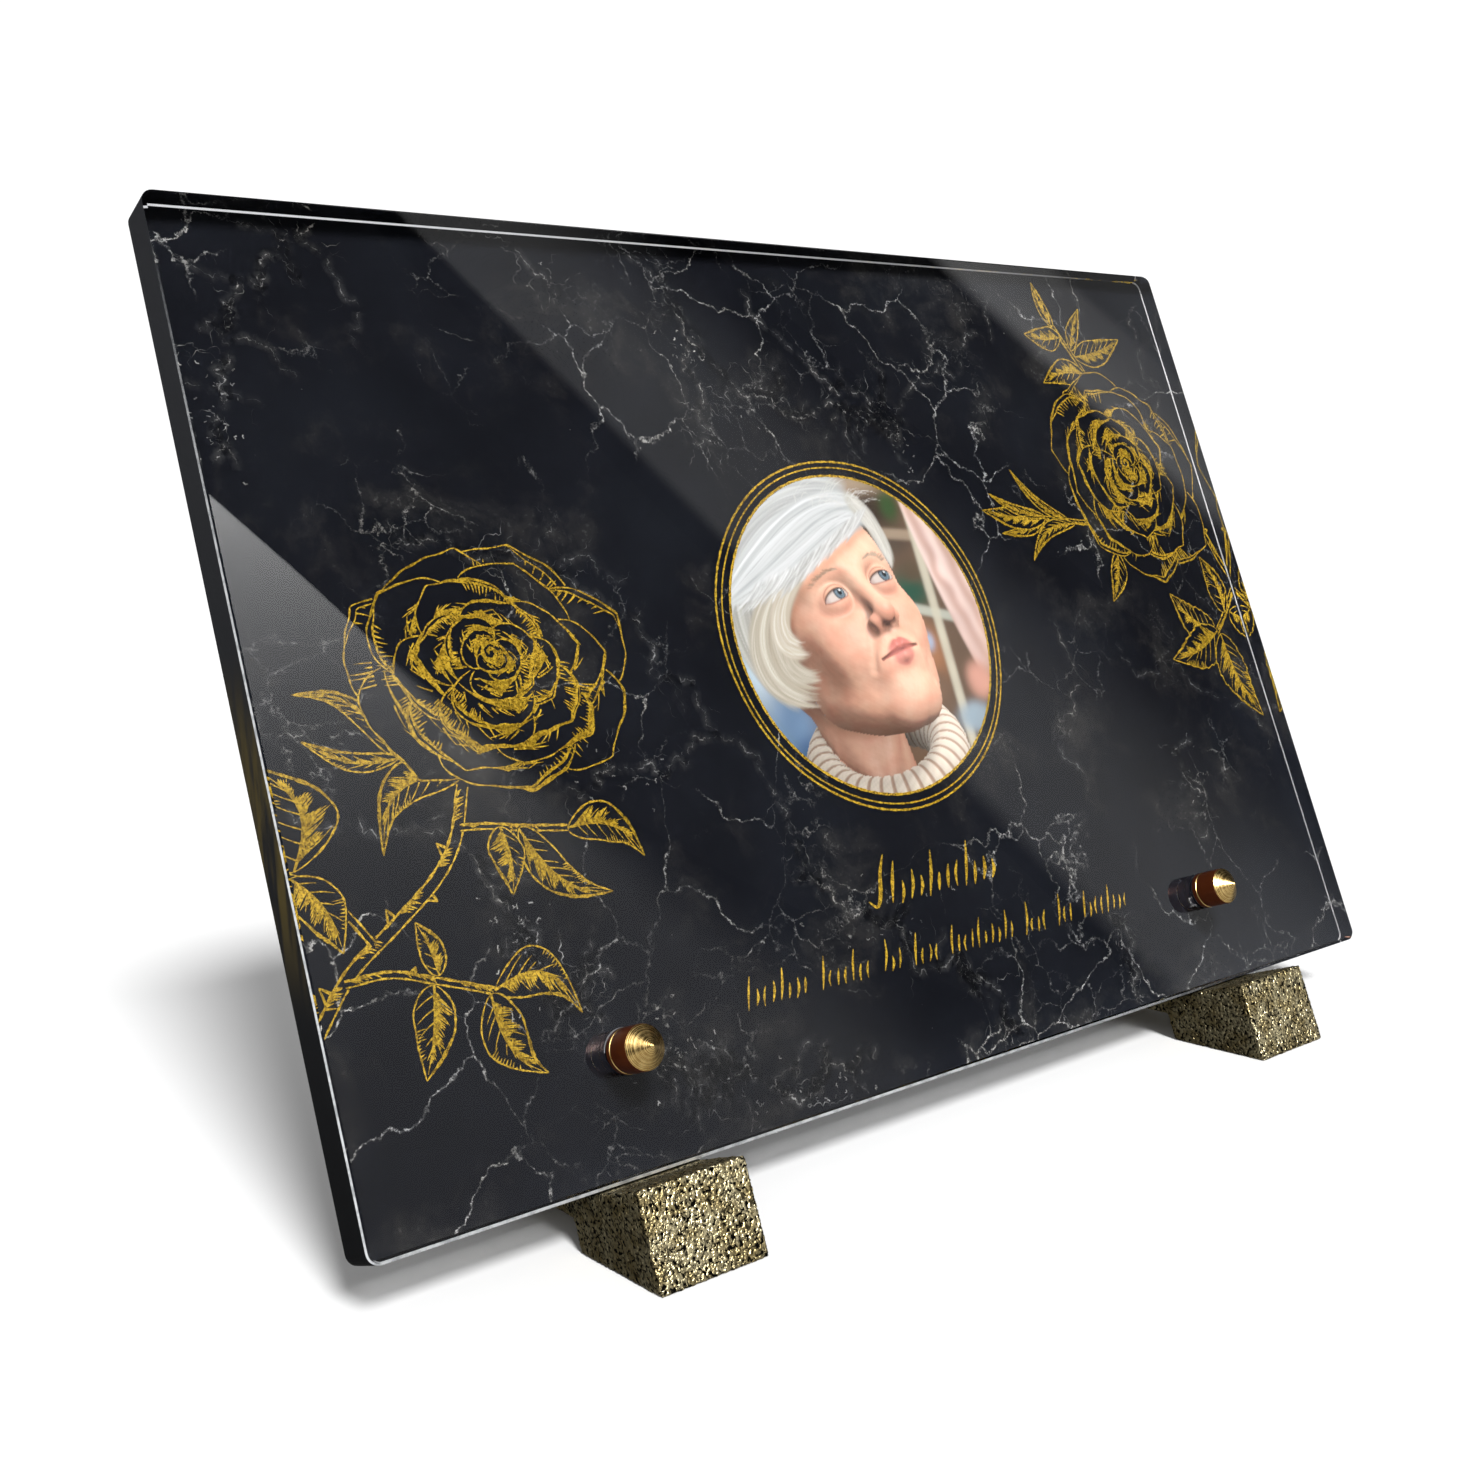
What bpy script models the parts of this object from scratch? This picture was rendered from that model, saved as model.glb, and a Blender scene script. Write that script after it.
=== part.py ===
"""Printed memorial plaque: a clear plate that leans back on a pair of cast feet.

Metres, +Z up, +X to the right as the reader sees the plate, front towards -Y.
The origin is on the ground, under the middle of the whole object.
Each foot holds the plate's lower edge in a notch. A stud runs through the plate into the
foot's upright, and a pointed cap nut closes it at the front.
"""

import math

import bmesh
import bpy
from mathutils import Vector

# Plate
PLATE_WIDTH = 0.300
PLATE_HEIGHT = 0.200
PLATE_THICKNESS = 0.010
PLATE_CORNER_RADIUS = 0.0025
PLATE_CHAMFER = 0.0006
LEAN = math.radians(18.5)
SEAT_HEIGHT = 0.0144

# Feet
FOOT_SPACING = 0.182
FOOT_WIDTH = 0.0252
FOOT_EDGE_RADIUS = 0.0005
LEDGE_DEPTH = 0.0129
FRONT_BLOCK_LENGTH = 0.0262
ARCH_HEIGHT = 0.0063
ARCH_LENGTH = 0.0260
ARCH_END_RADIUS = 0.0030
TOE_LENGTH = 0.0210
TOE_HEIGHT = 0.0100
UPRIGHT_THICKNESS = 0.0090
UPRIGHT_HEIGHT = 0.0370
UPRIGHT_TOP_RADIUS = 0.0030

# Fixings
FIXING_HEIGHT = 0.0234
STUD_RADIUS = 0.0025
HOLE_RADIUS = 0.0040
NUT_RADIUS = 0.0045
NUT_COLLAR_LENGTH = 0.0015
NUT_BODY_LENGTH = 0.0055
NUT_CONE_LENGTH = 0.0032
NUT_GROOVE_DEPTH = 0.00025
NUT_GROOVE_WIDTH = 0.0004
NUT_BASE_CHAMFER = 0.0003
STUD_GRIP = 0.0045
STUD_RECESS = 0.0015

# Fits and fineness
CLEARANCE = 0.0003
CUT_OVERRUN = 0.002
CORNER_SEGMENTS = 6
ROUND_SEGMENTS = 40
ARC_STEP = math.radians(12)
MERGE_DISTANCE = 0.000005

# Finishes: colour, roughness, metallic
FINISHES = {
    "clear_acrylic": ((0.80, 0.84, 0.86), 0.04, 0.0),
    "cast_bronze": ((0.52, 0.43, 0.24), 0.42, 1.0),
    "turned_brass": ((0.83, 0.66, 0.33), 0.22, 1.0),
}


def clear_scene():
    for old in list(bpy.data.objects):
        bpy.data.objects.remove(old)


def make_collection(name, hidden=False):
    found = bpy.data.collections.new(name)
    bpy.context.scene.collection.children.link(found)
    found.hide_render = hidden
    return found


def make_finish(name):
    colour, roughness, metallic = FINISHES[name]
    finish = bpy.data.materials.new(name)
    finish.use_nodes = True
    shader = finish.node_tree.nodes["Principled BSDF"]
    shader.inputs["Base Color"].default_value = (*colour, 1.0)
    shader.inputs["Roughness"].default_value = roughness
    shader.inputs["Metallic"].default_value = metallic
    if name == "clear_acrylic":
        shader.inputs["Transmission Weight"].default_value = 1.0
        shader.inputs["IOR"].default_value = 1.49
    return finish


def add_object(name, mesh, collection, parent=None, finish=None):
    made = bpy.data.objects.new(name, mesh)
    collection.objects.link(made)
    made.parent = parent
    if finish:
        made.data.materials.append(finish)
    return made


def add_empty(name, collection, parent=None):
    return add_object(name, None, collection, parent)


def as_cutter(obj):
    obj.hide_render = True
    obj.display_type = "WIRE"
    return obj


def cut(obj, cutter):
    modifier = obj.modifiers.new("cut_" + cutter.name, "BOOLEAN")
    modifier.operation = "DIFFERENCE"
    modifier.object = cutter


def turned_about_y(name, profile, collection, parent, finish=None):
    """A solid turned about its own Y axis. The profile, (radius, y) pairs, runs towards -Y outside."""
    mesh = bpy.data.meshes.new(name)
    points = [(radius, y, 0.0) for radius, y in profile]
    mesh.from_pydata(points, [(i, i + 1) for i in range(len(points) - 1)], [])
    made = add_object(name, mesh, collection, parent, finish)
    spin = made.modifiers.new("turn", "SCREW")
    spin.axis = "Y"
    spin.steps = ROUND_SEGMENTS
    spin.render_steps = ROUND_SEGMENTS
    spin.use_merge_vertices = True
    spin.merge_threshold = MERGE_DISTANCE
    return made


def arc(centre, radius, start, end):
    """Points on an arc of the foot's outline, in its (y, z) plane, both ends included."""
    steps = max(2, math.ceil(abs(end - start) / ARC_STEP))
    angles = [start + (end - start) * i / steps for i in range(steps + 1)]
    return [centre + radius * Vector((math.cos(a), math.sin(a))) for a in angles]


def plate_point(across, up):
    """A point of the foot's (y, z) plane from plate coordinates: across its thickness, and up its face."""
    out_of_back = Vector((math.cos(LEAN), -math.sin(LEAN)))
    up_the_face = Vector((math.sin(LEAN), math.cos(LEAN)))
    return Vector((0.0, SEAT_HEIGHT)) + across * out_of_back + up * up_the_face


def slide_down_the_face(point, height):
    """The point at this height on the line through point that is parallel to the plate's face."""
    return Vector((point[0] - (point[1] - height) * math.tan(LEAN), height))


def foot_outline():
    """The foot seen from its side, as (y, z) points, from the front of the sole towards the back."""
    lip = plate_point(-LEDGE_DEPTH, -CLEARANCE)
    front = slide_down_the_face(lip, 0.0)
    heel = front + Vector((FRONT_BLOCK_LENGTH, 0.0))
    arch_start = heel + Vector((ARCH_HEIGHT * math.tan(LEAN), ARCH_HEIGHT))
    toe_front = heel + Vector((ARCH_LENGTH, 0.0))
    toe_back = toe_front + Vector((TOE_LENGTH, 0.0))
    arch_end = arc(
        toe_front + Vector((-ARCH_END_RADIUS, ARCH_HEIGHT - ARCH_END_RADIUS)),
        ARCH_END_RADIUS,
        math.pi / 2,
        0.0,
    )

    back_across = PLATE_THICKNESS + CLEARANCE + UPRIGHT_THICKNESS
    top_back = plate_point(back_across - UPRIGHT_TOP_RADIUS, UPRIGHT_HEIGHT - UPRIGHT_TOP_RADIUS)
    top_front = plate_point(PLATE_THICKNESS + CLEARANCE, UPRIGHT_HEIGHT)
    seat_back = plate_point(PLATE_THICKNESS + CLEARANCE, -CLEARANCE)
    upright_top = arc(top_back, UPRIGHT_TOP_RADIUS, -LEAN, math.pi / 2 - LEAN)
    return [
        front,
        heel,
        arch_start,
        *arch_end,
        toe_front,
        toe_back,
        *sweep_from_toe(toe_back + Vector((0.0, TOE_HEIGHT)), back_across),
        *upright_top,
        top_front,
        seat_back,
        lip,
    ]


def sweep_from_toe(toe_top, back_across):
    """The hollow back of the foot: an arc that leaves the toe level and ends along the upright's back."""
    turn = math.pi / 2 + LEAN
    tangent_foot = slide_down_the_face(plate_point(back_across, 0.0), toe_top[1])
    reach = toe_top[0] - tangent_foot[0]
    radius = reach / math.tan(turn / 2) * 0.5
    start = toe_top - Vector((reach - radius * math.tan(turn / 2), 0.0))
    centre = start + Vector((0.0, radius))
    return [toe_top, *arc(centre, radius, -math.pi / 2, -math.pi / 2 - turn)]


def make_foot(name, x, parts, cutters, frame, seat, finish):
    """A cast foot: its side outline, extruded across its width, with softened edges and a bore for the stud."""
    curve = bpy.data.curves.new(name + "_outline", "CURVE")
    curve.dimensions = "2D"
    curve.fill_mode = "BOTH"
    curve.extrude = FOOT_WIDTH / 2
    outline = foot_outline()
    spline = curve.splines.new("POLY")
    spline.points.add(len(outline) - 1)
    for point, (y, z) in zip(spline.points, outline):
        point.co = (y, z, 0.0, 1.0)
    spline.use_cyclic_u = True
    drawn = bpy.data.objects.new(name + "_outline", curve)
    parts.objects.link(drawn)
    graph = bpy.context.evaluated_depsgraph_get()
    mesh = bpy.data.meshes.new_from_object(drawn.evaluated_get(graph))
    bpy.data.objects.remove(drawn)

    solid = bmesh.new()
    solid.from_mesh(mesh)
    bmesh.ops.remove_doubles(solid, verts=solid.verts, dist=MERGE_DISTANCE)
    bmesh.ops.dissolve_limit(solid, angle_limit=0.001, verts=solid.verts, edges=solid.edges)
    solid.to_mesh(mesh)
    solid.free()

    foot = add_object(name, mesh, parts, frame, finish)
    foot.rotation_euler = (math.pi / 2, 0.0, math.pi / 2)
    foot.location = (x, 0.0, 0.0)
    soften = foot.modifiers.new("softened_edges", "BEVEL")
    soften.width = FOOT_EDGE_RADIUS
    soften.segments = 2
    soften.limit_method = "ANGLE"
    soften.angle_limit = math.radians(28)

    far = PLATE_THICKNESS + CLEARANCE + UPRIGHT_THICKNESS + CUT_OVERRUN
    near = PLATE_THICKNESS - CUT_OVERRUN
    bore = STUD_RADIUS + CLEARANCE
    profile = [(0.0, far), (bore, far), (bore, near), (0.0, near)]
    cutter = as_cutter(turned_about_y(name + "_bore", profile, cutters, seat))
    cutter.location = (x, 0.0, FIXING_HEIGHT)
    cut(foot, cutter)
    return foot


def make_plate(parts, cutters, seat, finish):
    """The clear plate: a slab with rounded corners, chamfered round both faces and round its holes."""
    mesh = bpy.data.meshes.new("plate")
    slab = bmesh.new()
    bmesh.ops.create_cube(slab, size=1.0)
    bmesh.ops.scale(slab, vec=(PLATE_WIDTH, PLATE_THICKNESS, PLATE_HEIGHT), verts=slab.verts)
    bmesh.ops.translate(
        slab, vec=(0.0, PLATE_THICKNESS / 2, PLATE_HEIGHT / 2), verts=slab.verts
    )
    corners = [e for e in slab.edges if abs(e.verts[0].co.y - e.verts[1].co.y) > PLATE_THICKNESS / 2]
    bmesh.ops.bevel(
        slab,
        geom=corners,
        offset=PLATE_CORNER_RADIUS,
        offset_type="OFFSET",
        segments=CORNER_SEGMENTS,
        profile=0.5,
        affect="EDGES",
    )
    rims = [e for e in slab.edges if abs(e.verts[0].co.y - e.verts[1].co.y) < MERGE_DISTANCE]
    bmesh.ops.bevel(
        slab,
        geom=rims,
        offset=PLATE_CHAMFER,
        offset_type="OFFSET",
        segments=1,
        profile=0.5,
        affect="EDGES",
    )
    slab.to_mesh(mesh)
    slab.free()
    plate = add_object("plate", mesh, parts, seat, finish)

    flare = HOLE_RADIUS + PLATE_CHAMFER + CUT_OVERRUN
    profile = [
        (0.0, PLATE_THICKNESS + CUT_OVERRUN),
        (flare, PLATE_THICKNESS + CUT_OVERRUN),
        (HOLE_RADIUS, PLATE_THICKNESS - PLATE_CHAMFER),
        (HOLE_RADIUS, PLATE_CHAMFER),
        (flare, -CUT_OVERRUN),
        (0.0, -CUT_OVERRUN),
    ]
    for side, x in foot_places():
        cutter = as_cutter(turned_about_y(side + "_plate_hole", profile, cutters, seat))
        cutter.location = (x, 0.0, FIXING_HEIGHT)
        cut(plate, cutter)


def foot_places():
    return (("left", -FOOT_SPACING / 2), ("right", FOOT_SPACING / 2))


def make_stud(side, x, parts, seat, finish):
    """The threaded rod, drawn plain: from the upright's back, through the plate, into the cap nut."""
    back = PLATE_THICKNESS + CLEARANCE + UPRIGHT_THICKNESS - STUD_RECESS
    front = -CLEARANCE - STUD_GRIP
    profile = [(0.0, back), (STUD_RADIUS, back), (STUD_RADIUS, front), (0.0, front)]
    stud = turned_about_y(side + "_stud", profile, parts, seat, finish)
    stud.location = (x, 0.0, FIXING_HEIGHT)


def make_cap_nut(side, x, parts, seat, finish):
    """The pointed cap nut: a collar, a groove, a plain barrel, a cone, and a blind bore over the stud."""
    base = -CLEARANCE
    groove = base - NUT_COLLAR_LENGTH
    barrel = groove - NUT_GROOVE_WIDTH
    shoulder = base - NUT_COLLAR_LENGTH - NUT_BODY_LENGTH
    bore = STUD_RADIUS + CLEARANCE
    bore_end = base - STUD_GRIP - CLEARANCE
    profile = [
        (0.0, bore_end),
        (bore, bore_end),
        (bore, base),
        (NUT_RADIUS - NUT_BASE_CHAMFER, base),
        (NUT_RADIUS, base - NUT_BASE_CHAMFER),
        (NUT_RADIUS, groove),
        (NUT_RADIUS - NUT_GROOVE_DEPTH, groove - NUT_GROOVE_WIDTH / 2),
        (NUT_RADIUS, barrel),
        (NUT_RADIUS, shoulder),
        (0.0, shoulder - NUT_CONE_LENGTH),
    ]
    nut = turned_about_y(side + "_cap_nut", profile, parts, seat, finish)
    nut.location = (x, 0.0, FIXING_HEIGHT)


def middle_of_depth():
    """Half way between the front of the soles and the back of the plate's upper edge, from the seat."""
    lip = plate_point(-LEDGE_DEPTH, -CLEARANCE)
    front = slide_down_the_face(lip, 0.0)
    back = plate_point(PLATE_THICKNESS, PLATE_HEIGHT - PLATE_CHAMFER)
    return (front[0] + back[0]) / 2


def main():
    clear_scene()
    parts = make_collection("memorial_plaque")
    cutters = make_collection("cutters", hidden=True)
    acrylic = make_finish("clear_acrylic")
    bronze = make_finish("cast_bronze")
    brass = make_finish("turned_brass")

    frame = add_empty("plaque_frame", parts)
    frame.location = (0.0, -middle_of_depth(), 0.0)
    seat = add_empty("plate_seat", parts, frame)
    seat.location = (0.0, 0.0, SEAT_HEIGHT)
    seat.rotation_euler = (-LEAN, 0.0, 0.0)

    make_plate(parts, cutters, seat, acrylic)
    for side, x in foot_places():
        make_foot(side + "_foot", x, parts, cutters, frame, seat, bronze)
        make_stud(side, x, parts, seat, brass)
        make_cap_nut(side, x, parts, seat, brass)


main()
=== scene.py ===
"""Printed memorial plaque: its clear plate, the print behind it, hammered feet and turned cap nuts."""

import math
import random

import bmesh
import bpy
import numpy as np
from mathutils import Matrix, Vector, noise


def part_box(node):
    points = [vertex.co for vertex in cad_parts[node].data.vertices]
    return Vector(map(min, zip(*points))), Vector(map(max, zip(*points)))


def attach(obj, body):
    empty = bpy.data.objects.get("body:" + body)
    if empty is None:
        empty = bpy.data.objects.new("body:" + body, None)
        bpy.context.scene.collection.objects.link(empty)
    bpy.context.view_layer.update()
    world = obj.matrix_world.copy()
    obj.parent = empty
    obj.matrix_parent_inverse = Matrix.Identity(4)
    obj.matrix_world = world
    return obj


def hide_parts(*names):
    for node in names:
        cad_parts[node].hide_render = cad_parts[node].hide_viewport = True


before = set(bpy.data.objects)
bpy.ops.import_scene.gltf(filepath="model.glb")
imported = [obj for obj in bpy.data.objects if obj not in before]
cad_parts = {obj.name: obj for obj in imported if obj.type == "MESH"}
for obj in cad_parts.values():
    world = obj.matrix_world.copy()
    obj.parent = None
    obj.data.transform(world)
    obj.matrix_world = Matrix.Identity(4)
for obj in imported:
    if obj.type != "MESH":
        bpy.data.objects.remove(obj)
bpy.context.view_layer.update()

# The plate, as the frame has it. Plate coordinates are x to the right, s up the face, and z
# out of the front face towards the reader, from the middle of the face's lower edge.
LEAN = math.radians(18.5)
PLATE_THICKNESS = 0.010
plate_low, plate_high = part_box("plate")
PLATE_WIDTH = plate_high.x - plate_low.x
PLATE_HEIGHT = round((plate_high.z - plate_low.z - PLATE_THICKNESS * math.sin(LEAN)) / math.cos(LEAN), 3)
ACROSS = Vector((1.0, 0.0, 0.0))
UP_FACE = Vector((0.0, math.sin(LEAN), math.cos(LEAN)))
OUT_OF_FACE = ACROSS.cross(UP_FACE)
face_origin = (
    (plate_low + plate_high) / 2 - UP_FACE * PLATE_HEIGHT / 2 + OUT_OF_FACE * PLATE_THICKNESS / 2
)
ON_PLATE = Matrix.Translation(face_origin) @ Matrix((ACROSS, UP_FACE, OUT_OF_FACE)).transposed().to_4x4()
OFF_PLATE = ON_PLATE.inverted()

# The print's layers, behind the clear sheet's front face
PRINT_DEPTH = 0.0097
LAYER = 0.00004
FILM = 0.00002
# How bright the picture is made, since the studio lights it over its own colour
PRINT_LIGHT = 0.66
# The marble sheet stays this far inside the plate's edge
PRINT_MARGIN = 0.0004
PRINT_CORNER = 0.0021
# The studs' places on the plate, and their holes in the print
NUT_X = 0.091
NUT_S = 0.0234
HOLE_RADIUS = 0.00403

# Drawings are in plate millimetres
MM = 0.001
WIDE_MM = PLATE_WIDTH / MM
TALL_MM = PLATE_HEIGHT / MM


class Link:
    """A shader node's output that takes part in Python sums."""

    def __init__(self, socket):
        self.socket = socket

    def maths(self, operation, first, second):
        node = self.socket.node.id_data.nodes.new("ShaderNodeMath")
        node.operation = operation
        plug(first, node.inputs[0])
        plug(second, node.inputs[1])
        return Link(node.outputs[0])

    def __add__(self, other):
        return self.maths("ADD", self, other)

    def __sub__(self, other):
        return self.maths("SUBTRACT", self, other)

    def __rsub__(self, other):
        return self.maths("SUBTRACT", other, self)

    def __mul__(self, other):
        return self.maths("MULTIPLY", self, other)

    __radd__ = __add__
    __rmul__ = __mul__


def plug(value, place):
    """Gives a socket its link, or its plain value."""
    if isinstance(value, Link):
        place.id_data.links.new(value.socket, place)
    elif isinstance(value, tuple) and place.type == "RGBA":
        place.default_value = (*value[:3], 1.0)
    else:
        place.default_value = value


def socket_called(sockets, name):
    for socket in sockets:
        if socket.enabled and name in (socket.name, socket.identifier):
            return socket
    raise KeyError(name)


class Finish:
    """A material: one Principled shader, its plain values, and the nodes that feed it."""

    def __init__(self, name, plain):
        self.material = bpy.data.materials.new(name)
        self.material.use_nodes = True
        self.tree = self.material.node_tree
        self.shader = self.tree.nodes["Principled BSDF"]
        self.feed(plain)

    def feed(self, values):
        for name, value in values.items():
            plug(value, self.shader.inputs[name])

    def node(self, kind, settings, sockets, out=0):
        """Adds a node: its settings first, then its sockets' values or links."""
        made = self.tree.nodes.new("ShaderNode" + kind)
        for name, value in settings.items():
            setattr(made, name, value)
        for name, value in sockets.items():
            plug(value, socket_called(made.inputs, name))
        return Link(socket_called(made.outputs, out) if isinstance(out, str) else made.outputs[out])

    def coords(self):
        return self.node("TexCoord", {}, {}, "Object")

    def along(self, axis):
        return self.node("SeparateXYZ", {}, {"Vector": self.coords()}, axis)

    def attribute(self, name, out="Fac"):
        return self.node("Attribute", {"attribute_name": name}, {}, out)

    def noise(self, where, scale, detail=4.0, rough=0.55, out="Fac"):
        sockets = {"Vector": where, "Scale": scale, "Detail": detail, "Roughness": rough}
        return self.node("TexNoise", {}, sockets, out)

    def step(self, value, low, high):
        """A soft step from 0 at low to 1 at high."""
        sockets = {"Value": value, "From Min": low, "From Max": high}
        return self.node("MapRange", {"interpolation_type": "SMOOTHSTEP"}, sockets)

    def blend(self, share, first, second):
        sockets = {"Factor": share, "A": first, "B": second}
        return self.node("Mix", {"data_type": "RGBA"}, sockets, "Result")

    def bumped(self, height, strength, distance):
        sockets = {"Height": height, "Strength": strength, "Distance": distance}
        self.feed({"Normal": self.node("Bump", {}, sockets)})


def from_srgb(red, green, blue):
    """A colour as a screen shows it, 0 to 255, turned into light."""
    parts = [value / 255 for value in (red, green, blue)]
    return tuple(p / 12.92 if p <= 0.04045 else ((p + 0.055) / 1.055) ** 2.4 for p in parts)


def matte(roughness, specular=0.0, **more):
    return {"Roughness": roughness, "Specular IOR Level": specular, **more}


def clear_acrylic():
    """Clear cast acrylic, which lets the lamps' light through to the print behind it."""
    finish = Finish("clear_acrylic", {
        "Base Color": (1.0, 1.0, 1.0),
        "Transmission Weight": 1.0,
        "Roughness": 0.0,
        "IOR": 1.49,
    })
    lamp_ray = finish.node("LightPath", {}, {}, "Is Shadow Ray")
    clear = finish.node("BsdfTransparent", {}, {})
    sockets = {"Fac": lamp_ray, "Shader": Link(finish.shader.outputs[0]), "Shader_001": clear}
    both = finish.node("MixShader", {}, sockets)
    plug(both, finish.tree.nodes["Material Output"].inputs["Surface"])
    return finish.material


def black_marble():
    """Near-black stone as printed: cloudy ground, veins drawn on it, webs of fine cracks, and specks."""
    finish = Finish("printed_black_marble", matte(0.6))
    place = finish.coords()
    drift = finish.noise(place, 26.0, 3.0, out="Color")
    jitter = finish.noise(place, 230.0, 5.0, 0.7, out="Color")
    shift = vector_sum(finish, place, drift, 0.034)
    shift = vector_sum(finish, shift, jitter, 0.0055)

    def web(scale, width, start):
        moved = finish.node("Mapping", {}, {"Vector": shift, "Location": start})
        sockets = {"Vector": moved, "Scale": scale}
        edge = finish.node("TexVoronoi", {"feature": "DISTANCE_TO_EDGE"}, sockets, "Distance")
        return 1.0 - finish.step(edge, 0.0, width * scale)

    crumbs = finish.noise(place, 760.0, 4.0, 0.8)
    broken = finish.step(crumbs, 0.44, 0.64)
    patches = finish.noise(place, 19.0, 3.0)
    middle = web(38.0, 0.00040, (0.9, 0.4, 0.2)) * finish.step(patches, 0.44, 0.60)
    small = web(95.0, 0.00032, (0.5, 0.8, 0.6)) * finish.step(finish.noise(place, 27.0, 3.0), 0.52, 0.64)
    fine = web(210.0, 0.00028, (0.1, 0.6, 0.3)) * finish.step(finish.noise(place, 33.0, 3.0), 0.58, 0.68)
    cracks = (middle * 0.62 + small * 0.34 + fine * 0.20) * (0.25 + 0.75 * broken)
    smoke = finish.step(finish.noise(shift, 34.0, 5.0, 0.7), 0.50, 0.80)
    dust = smoke * finish.step(finish.noise(place, 800.0, 2.0), 0.54, 0.70) * 0.24
    specks = finish.step(finish.noise(place, 640.0, 1.0), 0.80, 0.86) * 0.30
    drawn = finish.attribute("vein")

    cloud = finish.step(finish.noise(place, 12.0, 5.0, 0.6), 0.32, 0.74)
    ground = finish.blend(cloud, from_srgb(14, 15, 19), from_srgb(24, 26, 31))
    ground = finish.blend(smoke * 0.13, ground, from_srgb(112, 108, 100))
    bright = drawn * (0.20 + 0.80 * finish.step(crumbs, 0.36, 0.56))
    light = finish.step(cracks + dust + specks, 0.0, 1.0) + bright
    cool_or_warm = finish.noise(place, 60.0, 2.0)
    tint = finish.blend(cool_or_warm, from_srgb(196, 200, 208), from_srgb(206, 200, 184))
    finish.feed({"Base Color": finish.blend(light, ground, tint)})
    return finish.material


def vector_sum(finish, place, colour, amount):
    """Moves a place by a noise colour, up to half the amount each way."""
    centred = finish.node("VectorMath", {"operation": "SUBTRACT"},
                          {"Vector": colour, "Vector_001": (0.5, 0.5, 0.5)})
    scaled = finish.node("VectorMath", {"operation": "SCALE"}, {"Vector": centred, "Scale": amount})
    return finish.node("VectorMath", {"operation": "ADD"}, {"Vector": place, "Vector_001": scaled})


def gold_ink():
    """Flat gold ink with darker flecks, as leaf that has been printed."""
    finish = Finish("gold_ink", matte(0.5))
    place = finish.coords()
    fleck = finish.step(finish.noise(place, 1500.0, 3.0, 0.7), 0.38, 0.62)
    shade = finish.noise(place, 90.0, 3.0)
    gold = finish.blend(finish.step(shade, 0.3, 0.7), from_srgb(168, 138, 38), from_srgb(194, 160, 52))
    gap = finish.step(finish.noise(place, 2300.0, 2.0, 0.7), 0.33, 0.43)
    wear_and_sheen = finish.blend(fleck, from_srgb(112, 88, 22), gold)
    finish.feed({"Base Color": finish.blend(gap, from_srgb(40, 34, 18), wear_and_sheen)})
    return finish.material


def hammered_bronze():
    """Pale gold metal on the raised pebbles, near black in the hollows between them."""
    finish = Finish("hammered_bronze", {"Metallic": 0.97})
    place = finish.coords()
    hollow = finish.attribute("hollow")
    moved = vector_sum(finish, place, finish.noise(place, 700.0, 2.0, out="Color"), 0.0011)
    worms = finish.noise(moved, 1450.0, 1.0, 0.4)
    pits = 1.0 - finish.step(worms, 0.37, 0.43)
    dark = finish.step(finish.step(hollow, 0.45, 0.90) * 0.8 + pits, 0.0, 1.0)
    wear_and_sheen = finish.step(finish.noise(place, 260.0, 3.0), 0.35, 0.65)
    gold = finish.blend(wear_and_sheen, from_srgb(190, 171, 122), from_srgb(236, 222, 178))
    finish.feed({
        "Base Color": finish.blend(dark, gold, from_srgb(7, 6, 4)),
        "Roughness": 0.30 + 0.32 * dark,
    })
    finish.bumped(worms, 0.75, 0.0008)
    return finish.material


def turned_brass():
    """Brass with the fine rings that a lathe leaves, which follow the height over the plate."""
    finish = Finish("turned_brass", {"Roughness": 0.26, "Metallic": 1.0})
    place = finish.coords()
    axis = {"Vector": place, "Vector_001": tuple(OUT_OF_FACE)}
    height = finish.node("VectorMath", {"operation": "DOT_PRODUCT"}, axis, "Value")
    sockets = {"W": height, "Scale": 9000.0, "Detail": 2.0}
    rings = finish.node("TexNoise", {"noise_dimensions": "1D"}, sockets)
    tone = finish.step(rings * 0.7 + finish.noise(place, 900.0, 4.0) * 0.3, 0.36, 0.64)
    finish.feed({
        "Base Color": finish.blend(tone, from_srgb(160, 126, 66), from_srgb(224, 194, 130)),
        "Roughness": 0.20 + 0.16 * tone,
    })
    finish.bumped(rings, 0.09, 0.00002)
    return finish.material


def brass_painted_dark():
    """The cap nut's barrel: the same brass painted dark brown, as painted shade for the dim reflection
    its polished side shows.
    """
    finish = Finish("barrel_painted_shade_brass", {"Roughness": 0.30, "Metallic": 0.55})
    place = finish.coords()
    tone = finish.noise(place, 400.0, 4.0)
    finish.feed({"Base Color": finish.blend(tone, from_srgb(78, 34, 14), from_srgb(112, 54, 24))})
    return finish.material


def plain(name, colour, roughness, specular=0.5):
    return Finish(name, {"Base Color": from_srgb(*colour), **matte(roughness, specular)}).material


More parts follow.
